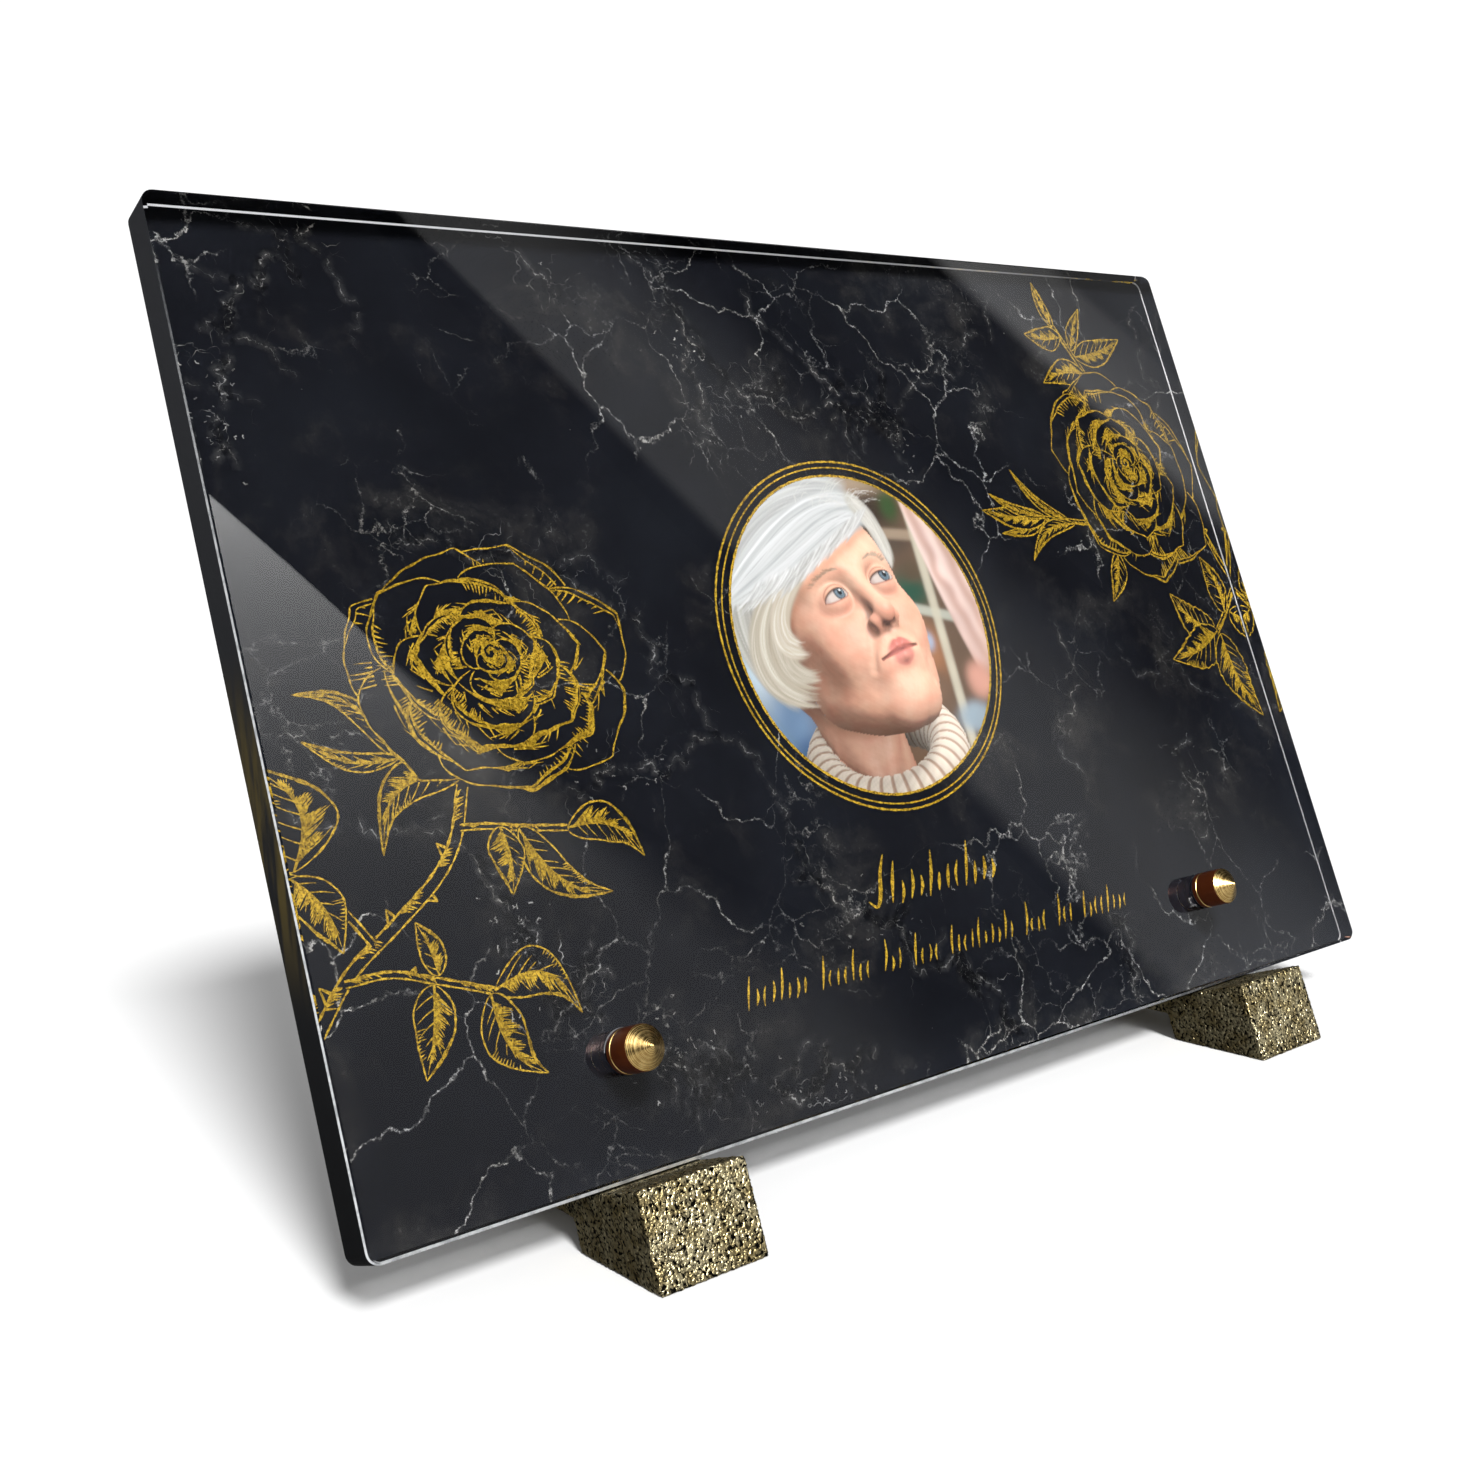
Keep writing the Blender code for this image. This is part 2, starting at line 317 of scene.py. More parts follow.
def side_painted_shade():
    """The plate's sides: a dark film that stands in for how the clear edges look, as painted shade that
    is darker low down, with a painted reflection of the gold print as a dull golden glow halfway.
    """
    finish = Finish("side_painted_shade_and_reflection", matte(0.35, 0.2))
    height = finish.along("Z")
    # Painted shade: dark, and darker low down; then a painted reflection of the gold print, in streaks,
    # halfway up
    grey = finish.blend(finish.step(height, 0.0, 0.19), from_srgb(15, 16, 18), from_srgb(48, 49, 52))
    glow = finish.step(height, 0.052, 0.078) * (1.0 - finish.step(height, 0.092, 0.118))
    stretched = finish.node("Mapping", {}, {"Vector": finish.coords(), "Scale": (1.0, 1.0, 0.15)})
    streaks = finish.step(finish.noise(stretched, 330.0, 2.0), 0.30, 0.62)
    finish.feed({"Base Color": finish.blend(glow * streaks * 0.8, grey, from_srgb(84, 72, 34))})
    return finish.material


def painted_chamfer_highlight():
    """A painted highlight on the front chamfer: a film that shows along the left and the bottom, and
    fades to their far ends.
    """
    finish = Finish("chamfer_painted_highlight_film", matte(0.6, 0.2))
    place, across = finish.coords(), finish.along("X")
    low = 1.0 - finish.step(finish.along("Z"), 0.085, 0.200)
    near = 1.0 - finish.step(across, -0.02, 0.105)
    start = {"Vector": place, "Vector_001": tuple(face_origin)}
    from_front = finish.node("VectorMath", {"operation": "SUBTRACT"}, start)
    axis = {"Vector": from_front, "Vector_001": tuple(OUT_OF_FACE)}
    depth = finish.node("VectorMath", {"operation": "DOT_PRODUCT"}, axis, "Value")
    outer = 1.0 - finish.step(depth, -0.00034, -0.00026)
    on_left = 1.0 - finish.step(across, -0.1494, -0.1470)
    wear_and_sheen = finish.step(finish.noise(place, 420.0, 4.0, 0.7), 0.34, 0.60)
    # Painted highlight: shown low down and to the left, and on the left edge only on its outer part, in
    # mottled tones
    finish.feed({"Alpha": low * near * (1.0 - on_left * (1.0 - outer))})
    finish.feed({"Base Color": finish.blend(wear_and_sheen, (0.26, 0.27, 0.28), (0.47, 0.48, 0.49))})
    return finish.material


def rear_edge_painted_glow():
    """The rear cut edge seen through the clear plate, with painted light: painted shade that leaves it
    darker low down and grey down the right, and a painted glow along the top, white at the top left and
    dim at the top right.
    """
    finish = Finish("rear_edge_painted_glow_and_shade", matte(0.6, 0.2, **{"Emission Strength": 1.0}))
    height = finish.along("Z")
    across = finish.step(finish.along("X"), -PLATE_WIDTH / 2, PLATE_WIDTH / 2)
    top = finish.step(height, 0.1955, 0.1985)
    # Painted shade: darker low down. Painted glow: only along the top, bright at the left, dim at the
    # right
    grey = finish.blend(finish.step(height, 0.0, 0.19), (0.15, 0.15, 0.152), (0.34, 0.34, 0.345))
    painted_glow = finish.blend(across, (0.66, 0.67, 0.69), (0.10, 0.10, 0.105))
    finish.feed({
        "Base Color": grey,
        "Emission Color": finish.blend(top, (0.0, 0.0, 0.0), painted_glow),
    })
    return finish.material


def painted_picture():
    finish = Finish("printed_picture", matte(0.6))
    finish.feed({"Base Color": finish.attribute("paint", "Color")})
    return finish.material


def deselect_all():
    if bpy.context.object and bpy.context.object.mode != "OBJECT":
        bpy.ops.object.mode_set(mode="OBJECT")
    bpy.ops.object.select_all(action="DESELECT")


def make_active(obj):
    deselect_all()
    obj.select_set(True)
    bpy.context.view_layer.objects.active = obj


def edit_whole(obj):
    """Opens a mesh for editing with all of it selected."""
    make_active(obj)
    bpy.ops.object.mode_set(mode="EDIT")
    bpy.ops.mesh.select_all(action="SELECT")


def settle(obj, name, matrix, material, smooth=None):
    """Puts a finished piece's place into its mesh, and gives it its name, its finish and its body."""
    make_active(obj)
    bpy.ops.object.transform_apply(location=True, rotation=True, scale=True)
    obj.data.transform(matrix)
    obj.name = name
    obj.data.name = name
    obj.data.materials.clear()
    obj.data.materials.append(material)
    if smooth is not None:
        bpy.ops.object.shade_smooth_by_angle(angle=math.radians(smooth))
    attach(obj, "root")
    return obj


def film_at(layer):
    """Where a layer of the print lies: on the plate, that many layers in front of the marble."""
    return ON_PLATE @ Matrix.Translation((0.0, 0.0, -PRINT_DEPTH + layer * LAYER))


def apply_all_modifiers(obj):
    make_active(obj)
    for modifier in list(obj.modifiers):
        bpy.ops.object.modifier_apply(modifier=modifier.name)


def finish_film(made, name, layer, material):
    """Turns flat shapes into a closed film of ink, in a layer of the print."""
    mesh = bpy.data.meshes.new(name)
    made.to_mesh(mesh)
    made.free()
    obj = bpy.data.objects.new(name, mesh)
    bpy.context.scene.collection.objects.link(obj)
    film = obj.modifiers.new("film", "SOLIDIFY")
    film.thickness = FILM
    film.offset = -1.0
    apply_all_modifiers(obj)
    return settle(obj, name, film_at(layer), material)


def marble_print(material):
    """The print's marble ground: a thin sheet with round corners, and a hole round each stud."""
    deselect_all()
    bpy.ops.mesh.primitive_plane_add(size=1.0, location=(0.0, PLATE_HEIGHT / 2, 0.0))
    sheet = bpy.context.object
    sheet.scale = (PLATE_WIDTH - 2 * PRINT_MARGIN, PLATE_HEIGHT - 2 * PRINT_MARGIN, 1.0)
    bpy.ops.object.transform_apply(location=True, rotation=True, scale=True)
    edit_whole(sheet)
    bpy.ops.mesh.bevel(offset=PRINT_CORNER, segments=8, affect="VERTICES")
    bpy.ops.mesh.select_all(action="SELECT")
    bpy.ops.mesh.extrude_region_move(TRANSFORM_OT_translate={"value": (0.0, 0.0, -FILM)})
    bpy.ops.mesh.select_all(action="SELECT")
    bpy.ops.mesh.normals_make_consistent(inside=False)
    bpy.ops.object.mode_set(mode="OBJECT")
    for side in (-1, 1):
        deselect_all()
        bpy.ops.mesh.primitive_cylinder_add(
            vertices=64, radius=HOLE_RADIUS, depth=10 * FILM, location=(side * NUT_X, NUT_S, 0.0)
        )
        drill = bpy.context.object
        hole = sheet.modifiers.new("stud_hole", "BOOLEAN")
        hole.object = drill
        hole.operation = "DIFFERENCE"
        make_active(sheet)
        bpy.ops.object.modifier_apply(modifier=hole.name)
        bpy.data.objects.remove(drill)
    return settle(sheet, "marble_print", film_at(0), material)


def smooth_line(points, spacing=0.5):
    """A Catmull-Rom line through a few chosen points, in plate millimetres."""
    points = np.asarray(points, float)
    ends = np.vstack([2 * points[0] - points[1], points, 2 * points[-1] - points[-2]])
    line = []
    for a, b, c, d in zip(ends, ends[1:], ends[2:], ends[3:]):
        count = max(2, int(np.linalg.norm(c - b) / spacing))
        t = np.linspace(0, 1, count, endpoint=False)[:, None]
        bend = (2 * a - 5 * b + 4 * c - d) * t**2 + (3 * b - a - 3 * c + d) * t**3
        line.append(0.5 * (2 * b + (c - a) * t + bend))
    return np.vstack([*line, points[-1:]])


def across_line(points):
    """A line's way at each of its points, and the way across it, both one long."""
    way = np.gradient(points, axis=0)
    way /= np.maximum(np.linalg.norm(way, axis=1), 1e-9)[:, None]
    return way, np.stack([-way[:, 1], way[:, 0]], axis=1)


def is_inside(points, outline):
    """Which of the points lie inside a closed outline."""
    x, y = points[:, 0][:, None], points[:, 1][:, None]
    ax, ay = outline[:, 0], outline[:, 1]
    bx, by = np.roll(ax, -1), np.roll(ay, -1)
    rise = np.where(by == ay, 1e-9, by - ay)
    crosses = ((ay > y) != (by > y)) & (x < (bx - ax) * (y - ay) / rise + ax)
    return crosses.sum(axis=1) % 2 == 1


class Drawing:
    """Pen work in plate millimetres. A shape that is drawn later hides what it lies over."""

    def __init__(self, seed):
        self.marks = []
        self.rng = random.Random(seed)

    def pen(self, points, width, taper=(0.15, 0.15), rough=0.18):
        """A stroke of the given width that thins towards its ends, over these shares of its length."""
        points = np.asarray(points, float)
        count = len(points)
        t = np.linspace(0.0, 1.0, count)
        first, last = (max(share, 0.02) for share in taper)
        swell = np.minimum(1.0, np.minimum((t + 0.02) / first, (1.02 - t) / last))
        phase = self.rng.uniform(0, 9)
        ripple = np.sin(t * count * 0.9 + phase) * 0.6 + np.sin(t * count * 2.3 + 2 * phase) * 0.4
        self.marks.append((points, width / 2 * np.sqrt(swell) * (1 + rough * ripple)))

    def keep(self, kept):
        """Cuts every mark to the points that pass a test."""
        left = []
        for points, widths in self.marks:
            wanted = kept(points)
            if wanted.all():
                left.append((points, widths))
                continue
            run = []
            for i, good in enumerate([*wanted, False]):
                if good:
                    run.append(i)
                elif len(run) > 1:
                    left.append((points[run], widths[run]))
                    run = []
                else:
                    run = []
        self.marks = left

    def hide_under(self, outline):
        low, high = outline.min(axis=0), outline.max(axis=0)

        def kept(points):
            if (points.max(axis=0) < low).any() or (points.min(axis=0) > high).any():
                return np.ones(len(points), bool)
            return ~is_inside(points, outline)

        self.keep(kept)

    def build(self, name, layer, material):
        """Makes the marks one thin film, each mark a strip of quads with its own back and rim."""
        gap = 0.6
        end, top = WIDE_MM / 2 - gap, TALL_MM - gap
        self.keep(lambda p: (abs(p[:, 0]) < end) & (p[:, 1] > gap) & (p[:, 1] < top))
        made = bmesh.new()
        for points, widths in self.marks:
            side = across_line(points)[1] * widths[:, None]
            left = [made.verts.new((x * MM, s * MM, 0.0)) for x, s in points + side]
            right = [made.verts.new((x * MM, s * MM, 0.0)) for x, s in points - side]
            for i in range(len(points) - 1):
                made.faces.new((left[i], right[i], right[i + 1], left[i + 1]))
        return finish_film(made, name, layer, material)


def hatch(drawing, roots, tips, width, rough, reach=1.0):
    """A row of pen strokes from a line of roots towards a line of tips, ragged at their ends."""
    rng = drawing.rng
    for root, tip in zip(roots, tips):
        run = (tip - root) * reach * rng.uniform(1 - rough, 1 + rough * 0.5)
        length = np.linalg.norm(run)
        if length < 0.25:
            continue
        side = np.array([-run[1], run[0]]) * rng.uniform(-0.05, 0.05)
        t = np.linspace(0, 1, max(3, int(length / 0.7) + 2))[:, None]
        line = root + run * t + side * t * (1 - t) * 4
        drawing.pen(line, width * rng.uniform(0.8, 1.25), (0.0, 0.95), 0.12)


def along_line(line, count, start=0.0, end=1.0):
    """Places evenly spaced along a line, between two shares of its length."""
    run = np.concatenate([[0.0], np.cumsum(np.linalg.norm(np.diff(line, axis=0), axis=1))])
    at = np.linspace(start, end, count) * run[-1]
    return np.stack([np.interp(at, run, line[:, i]) for i in (0, 1)], axis=1)


def crescent(drawing, spot, middle, half, low, thick, way):
    """Solid ink in the shape of a new moon, from strokes side by side, with spikes on its far side."""
    rng = drawing.rng
    rows = max(2, int(thick / 0.34))
    for k in range(rows):
        share = k / (rows - 1)
        reach = half * (1 - 0.85 * share**1.5) * rng.uniform(0.86, 1.06)
        centre = middle + 0.35 * half * share * way
        u = np.linspace(centre - reach, centre + reach, 26)
        bow = np.maximum(1 - ((u - centre) / reach) ** 2, 0)
        drawing.pen(spot(low + share * thick * bow**1.4, u), 0.46, (0.45, 0.45), 0.25)
    spikes = int(2 + half * 7)
    for _ in range(spikes):
        at = middle + half * rng.gauss(0.15 * way, 0.38)
        bow = max(0.0, 1 - ((at - middle) / half) ** 2)
        start = low + thick * bow * 0.6
        reach = thick * rng.uniform(0.25, 0.80) * (0.35 + bow)
        u = np.linspace(at, at + way * rng.uniform(0.10, 0.30), 8)
        spike = spot(np.linspace(start, start + reach, 8), u)
        drawing.pen(spike, rng.uniform(0.28, 0.46), (0.0, 0.95), 0.12)


def petal(drawing, centre, angle, reach, spread, squash, turn, base, shade, heavy):
    """One petal from the front: a broad fan with a thin rim, and shade as crescents at its foot."""
    rng = drawing.rng
    u = np.linspace(-1.0, 1.0, 71)
    a, b = (rng.uniform(0, 6.3) for _ in range(2))
    wave = 0.030 * np.sin(2.3 * u + a) + 0.014 * np.sin(5.3 * u + b) + 0.004 * np.sin(23 * u + a)
    peak = rng.uniform(-0.5, 0.5)
    shoulder = np.maximum(1.0 - np.abs(u) ** 3.4, 0.0) ** 0.44
    radius = reach * (shoulder * (1 + wave) + 0.055 * np.exp(-np.abs((u - peak) / 0.10) ** 1.3))

    def spot(r, share):
        towards = angle + spread * np.asarray(share)
        x, y = r * np.cos(towards), r * np.sin(towards) * squash
        return centre + np.stack([x * math.cos(turn) - y * math.sin(turn),
                                  x * math.sin(turn) + y * math.cos(turn)], axis=-1)

    rim = spot(radius, u)
    drawing.hide_under(rim)
    drawing.pen(rim[1:-1], 0.30, (0.04, 0.04), 0.50)
    start = rng.randint(4, 34)
    drawing.pen(rim[start:start + 30], 0.72 * heavy, (0.5, 0.5), 0.35)
    way = rng.choice((-1, 1))
    room = reach - base
    # the rim turned over: a second line that leaves the rim and meets it again
    if reach > 9 and rng.random() < 0.75:
        low, high = (6, 36) if way > 0 else (34, 64)
        fall = room * rng.uniform(0.10, 0.24) * np.sin(np.linspace(0, math.pi, high - low)) ** 0.9
        lip = spot(radius[low:high] - fall, u[low:high])
        drawing.pen(lip, 0.50 * heavy, (0.35, 0.35), 0.35)
        count = int(6 + 10 * shade)
        roots = along_line(lip, count, 0.25, 0.75)
        below = spot(radius[low:high] - fall - room * 0.30, u[low:high] * 0.98)
        tips = along_line(below, count, 0.28, 0.72)
        hatch(drawing, roots, tips, 0.42, 0.75)
    if shade <= 0:
        return
    middle = rng.uniform(-0.25, 0.25)
    crescent(drawing, spot, middle, 0.90, base * 0.97, room * shade * 0.72, way)
    if room * spread > 3.0:
        low, thick = base + room * shade * 0.4, room * (0.08 + 0.30 * shade)
        crescent(drawing, spot, middle + 0.45 * way, 0.36, low, thick, -way)
    # a tuft of fine lines by one side, following the petal's fall
    if room > 4:
        count = rng.randint(5, 9)
        at = -way * np.linspace(0.60, 0.86, count)
        low = base + room * 0.20
        roots, tips = spot(np.full(count, low), at), spot(np.full(count, low + room * 0.5), at * 0.97)
        hatch(drawing, roots, tips, 0.36, 0.6)


def rose(drawing, centre, size, squash, turn, rise, petals):
    """A full-blown rose from the front, outer petals first, with its heart high on one side."""
    for angle, reach, spread, base, shade, heavy in petals:
        at = np.array(centre) + np.array(rise) * (1 - reach) * size
        rounder = squash + (1 - squash) * (1 - reach) * 0.5
        petal(drawing, at, math.radians(angle), size * reach, math.radians(spread), rounder, turn,
              base * size, shade, heavy)
    heart = np.array(centre) + np.array(rise) * size
    angle = np.linspace(0.4, 3.2 * math.pi, 60)
    r = size * 0.075 * (1 - angle / angle[-1] * 0.85)
    coil = heart + np.stack([r * np.cos(angle), r * np.sin(angle)], axis=1)
    drawing.pen(coil, 0.75, (0.1, 0.2), 0.35)


# Each petal: bearing, reach, half spread, where it shows from, how much is shaded, its rim's weight
FULL_BLOOM = (
    (172, 0.98, 50, 0.74, 0.00, 0.5), (78, 0.98, 56, 0.70, 0.00, 0.6), (118, 0.94, 46, 0.70, 0.22, 0.6),
    (20, 1.02, 46, 0.72, 0.18, 0.7), (-32, 1.03, 44, 0.74, 0.34, 0.9), (-140, 0.99, 48, 0.74, 0.30, 0.9),
    (-84, 0.98, 50, 0.74, 0.44, 1.2),
    (150, 0.82, 52, 0.56, 0.34, 0.8), (62, 0.80, 58, 0.54, 0.16, 0.6), (-2, 0.83, 48, 0.58, 0.46, 1.0),
    (-112, 0.84, 52, 0.58, 0.56, 1.2), (-56, 0.83, 48, 0.58, 0.60, 1.3),
    (112, 0.64, 56, 0.42, 0.40, 0.9), (28, 0.63, 54, 0.42, 0.46, 0.9), (-160, 0.65, 52, 0.44, 0.62, 1.1),
    (-44, 0.66, 52, 0.43, 0.74, 1.3), (-100, 0.66, 50, 0.44, 0.74, 1.3),
    (70, 0.47, 62, 0.29, 0.56, 1.0), (-18, 0.49, 58, 0.30, 0.72, 1.2), (168, 0.47, 60, 0.30, 0.62, 1.1),
    (-92, 0.50, 60, 0.31, 0.80, 1.3),
    (20, 0.33, 70, 0.19, 0.66, 1.2), (140, 0.32, 72, 0.19, 0.60, 1.1), (-70, 0.34, 74, 0.19, 0.80, 1.3),
    (-20, 0.21, 92, 0.11, 0.75, 1.1), (150, 0.20, 90, 0.10, 0.70, 1.1),
    (-80, 0.13, 110, 0.06, 0.80, 1.0),
)


def leaf(drawing, base, tip, width, bend=0.0, teeth=0.0, shade=1.0, curl=0.0):
    """A rose leaf: its dark half solid with ink by the rib, its light half veined, its tip drawn out."""
    rng = drawing.rng
    base, tip = np.asarray(base, float), np.asarray(tip, float)
    along = tip - base
    length = np.linalg.norm(along)
    along = along / length
    out = np.array([-along[1], along[0]])
    t = np.linspace(0.0, 1.0, 61)
    swing = bend * np.sin(math.pi * t) + curl * np.maximum(t - 0.7, 0) ** 1.5
    middle = base + np.outer(t * length, along) + np.outer(length * swing, out)
    body = np.sin(math.pi * t**0.74) ** 0.86 * (1 - 0.40 * t**3)
    lobe = rng.uniform(0.84, 1.16)
    saw = teeth * width * ((t * 8.0) % 1.0) * body
    dark = rng.choice((-1, 1))
    edges = {}
    for side in (-1, 1):
        half = width / 2 * body * (lobe if side == dark else 2 - lobe) + saw
        broad, fine = (rng.uniform(0, 6) for _ in range(2))
        half = half * (1 + 0.05 * np.sin(7 * t + broad) + 0.02 * np.sin(19 * t + fine))
        edges[side] = middle + out * (side * half)[:, None]
    drawing.hide_under(np.vstack([edges[1], edges[-1][::-1]]))
    drawing.pen(edges[dark], 0.40, (0.12, 0.08), 0.45)
    drawing.pen(edges[-dark], 0.32, (0.10, 0.06), 0.45)
    drawing.pen(edges[dark][28:58], 0.70, (0.5, 0.4), 0.35)
    drawing.pen(middle[:57], 0.50, (0.02, 0.85), 0.25)

    def between(start, end, side):
        here = np.stack([np.interp(start, t, middle[:, i]) for i in (0, 1)], axis=-1)
        rim = np.stack([np.interp(end, t, edges[side][:, i]) for i in (0, 1)], axis=-1)
        return here, rim

    # the dark half: tongues of strokes from the rib that merge near it
    tongues = max(3, int(length / 4.2))
    for k in range(tongues):
        foot = 0.08 + 0.72 * k / tongues
        span = 0.62 / tongues
        at = np.linspace(foot, foot + span, max(4, int(length * span / 0.34)))
        here, rim = between(at, np.minimum(at + 0.13, 0.98), dark)
        tall = np.sin(np.linspace(0.35, 2.7, len(at))) * rng.uniform(0.60, 0.96) * min(1.0, shade)
        hatch(drawing, here, here + (rim - here) * tall[:, None], 0.52, 0.22)
    # both halves: fine side veins, bowed towards the tip
    veins = max(3, int(length / 3.0))
    for side in (-dark, dark):
        for k in range(veins):
            start = 0.10 + 0.72 * k / veins + rng.uniform(-0.02, 0.02)
            here, rim = between(start, min(0.97, start + 0.22), side)
            bowed = smooth_line([here, here * 0.5 + rim * 0.5 - along * 0.3, rim], 0.5)
            shown = max(3, int(len(bowed) * rng.uniform(0.6, 0.95)))
            drawing.pen(bowed[:shown], 0.28, (0.02, 0.7), 0.25)
    # hairs in from the light edge, in one tuft
    at = np.linspace(0.52, 0.80, max(4, int(length / 1.8)))
    here, rim = between(np.maximum(at - 0.10, 0), at, -dark)
    hatch(drawing, rim, rim + (here - rim) * 0.42, 0.32, 0.6)


def stem(drawing, points, width, thorns=()):
    """A stem drawn by its two edges, hatched along one of them, with its thorns."""
    line = smooth_line(points, 0.6)
    along, out = across_line(line)
    left, right = line + out * width / 2, line - out * width / 2
    for share, side, size in thorns:
        i = int(share * (len(line) - 1))
        foot = line[i] + out[i] * side * width * 0.4
        point = foot + out[i] * side * size + along[i] * size * 0.35
        thorn = np.array([foot - along[i] * size * 0.45, point, foot + along[i] * size * 0.45])
        drawing.hide_under(thorn)
        hollow = (thorn[0] + point) / 2 - out[i] * side * 0.15
        drawing.pen(smooth_line([thorn[0], hollow, point], 0.3), 0.45, (0.1, 0.4))
        drawing.pen(smooth_line([thorn[2], (thorn[2] + point) / 2, point], 0.3), 0.55, (0.1, 0.4))
    drawing.hide_under(np.vstack([left, right[::-1]]))
    drawing.pen(left, 0.50, (0.03, 0.05), 0.45)
    drawing.pen(right, 0.36, (0.05, 0.05), 0.45)
    phase = drawing.rng.uniform(0, 6)
    for i in range(2, len(line) - 3):
        if math.sin(i * 0.33 + phase) + drawing.rng.uniform(-0.6, 0.6) > 0.1:
            reach = width * drawing.rng.uniform(0.3, 0.85)
            inward, onward = np.linspace(0, reach, 4), np.linspace(0, 1.2, 4)
            tick = left[i] - np.outer(inward, out[i]) + np.outer(onward, along[i])
            drawing.pen(tick, 0.50, (0.02, 0.9), 0.1)


def left_rose():
    """The rose at the lower left: a stem from the plate's edge, sprays of leaves, and the bloom."""
    drawing = Drawing(11)
    main = [(-152, 34), (-146, 42), (-139, 49.5), (-129, 56), (-119, 63), (-113, 70), (-109, 80)]
    stem(drawing, main, 2.3,
         ((0.22, 1, 2.9), (0.50, 1, 2.6), (0.78, 1, 2.6), (0.64, -1, 2.0)))
    stem(drawing, [(-141, 47.5), (-132, 47.5), (-123, 44.5), (-111, 40)], 1.2, ((0.45, 1, 1.5),))
    stem(drawing, [(-134, 53.5), (-138, 60), (-143, 66), (-151, 70)], 1.3, ((0.35, 1, 2.0),))
    stem(drawing, [(-111.5, 72), (-106, 71.5), (-98, 70), (-88, 68.5)], 1.1)
    leaf(drawing, (-124, 44), (-129.5, 27.5), 8.8, 0.04)
    leaf(drawing, (-122.5, 45.5), (-125.0, 56.0), 5.4, -0.05)
    leaf(drawing, (-112, 40.5), (-94, 34.0), 9.8, 0.26, curl=-0.5)
    leaf(drawing, (-113, 40), (-106.5, 22.5), 9.6, -0.12, curl=0.6)
    leaf(drawing, (-147, 68), (-140, 53), 9.5, 0.12)
    leaf(drawing, (-146, 69), (-149.5, 89), 15.0, -0.26)
    leaf(drawing, (-88, 68.5), (-71, 61.5), 8.6, 0.16, curl=-0.5)
    leaf(drawing, (-99, 70), (-82.5, 53), 8.0, -0.12, curl=0.5)
    leaf(drawing, (-103, 71), (-103.5, 57.5), 7.4, 0.08)
    leaf(drawing, (-122, 88), (-138.5, 102.5), 4.2, -0.16, shade=0.7, curl=0.4)
    leaf(drawing, (-121, 87), (-139.5, 92.5), 3.8, 0.12, shade=0.7)
    leaf(drawing, (-109, 82), (-129.0, 70.5), 8.0, -0.24, curl=0.4)
    rose(drawing, (-97, 103.0), 32.0, 0.80, math.radians(-6), (0.03, 0.09), FULL_BLOOM)
    return drawing


def right_rose():
    """The rose at the upper right, cut by the plate's edge, with a spray, a bud and lower leaves."""
    drawing = Drawing(23)
    stem(drawing, [(116, 164), (112, 172), (107, 181), (104, 187)], 1.1)
    leaf(drawing, (105, 184), (101.5, 197.5), 4.0, 0.06)
    leaf(drawing, (107, 181), (92.5, 181.5), 7.4, 0.08)
    leaf(drawing, (110, 177), (118.5, 190), 4.6, 0.05)
    leaf(drawing, (111, 175), (132.5, 181), 8.2, -0.04)
    leaf(drawing, (113, 170), (94.5, 167), 7.8, -0.08)
    stem(drawing, [(98, 126), (91, 126.5), (84, 127.5), (78, 128)], 1.2)
    leaf(drawing, (88, 127), (70.5, 142), 3.0, 0.10, shade=0.6)
    leaf(drawing, (90, 126), (70, 116.5), 4.2, -0.16, shade=0.8)
    leaf(drawing, (79, 128), (61, 124.5), 3.4, 0.06)
    leaf(drawing, (79, 128), (56, 131), 6.6, 0.03)
    leaf(drawing, (79, 128.5), (60, 135.5), 2.8, 0.08, shade=0.6)
    stem(drawing, [(137, 131), (144, 122), (148, 112), (154, 100)], 1.5, ((0.35, 1, 1.9),))
    stem(drawing, [(150, 104), (143, 97), (136, 91)], 1.3)
    leaf(drawing, (104, 117), (96.5, 103.5), 6.0, 0.08)
    leaf(drawing, (136, 92), (121, 104), 9.8, 0.10, 0.05)
    leaf(drawing, (137, 92), (114, 85.5), 10.8, 0.08, 0.05)
    leaf(drawing, (138, 91), (146, 66), 11.8, -0.08, 0.05)
    leaf(drawing, (143, 97), (139, 114), 7.8, -0.10, 0.04)
    leaf(drawing, (145, 97), (158, 86), 9.2, 0.10, 0.05)
    rose(drawing, (119, 140), 31.0, 0.90, math.radians(-66), (0.0, 0.10), FULL_BLOOM)
    return drawing


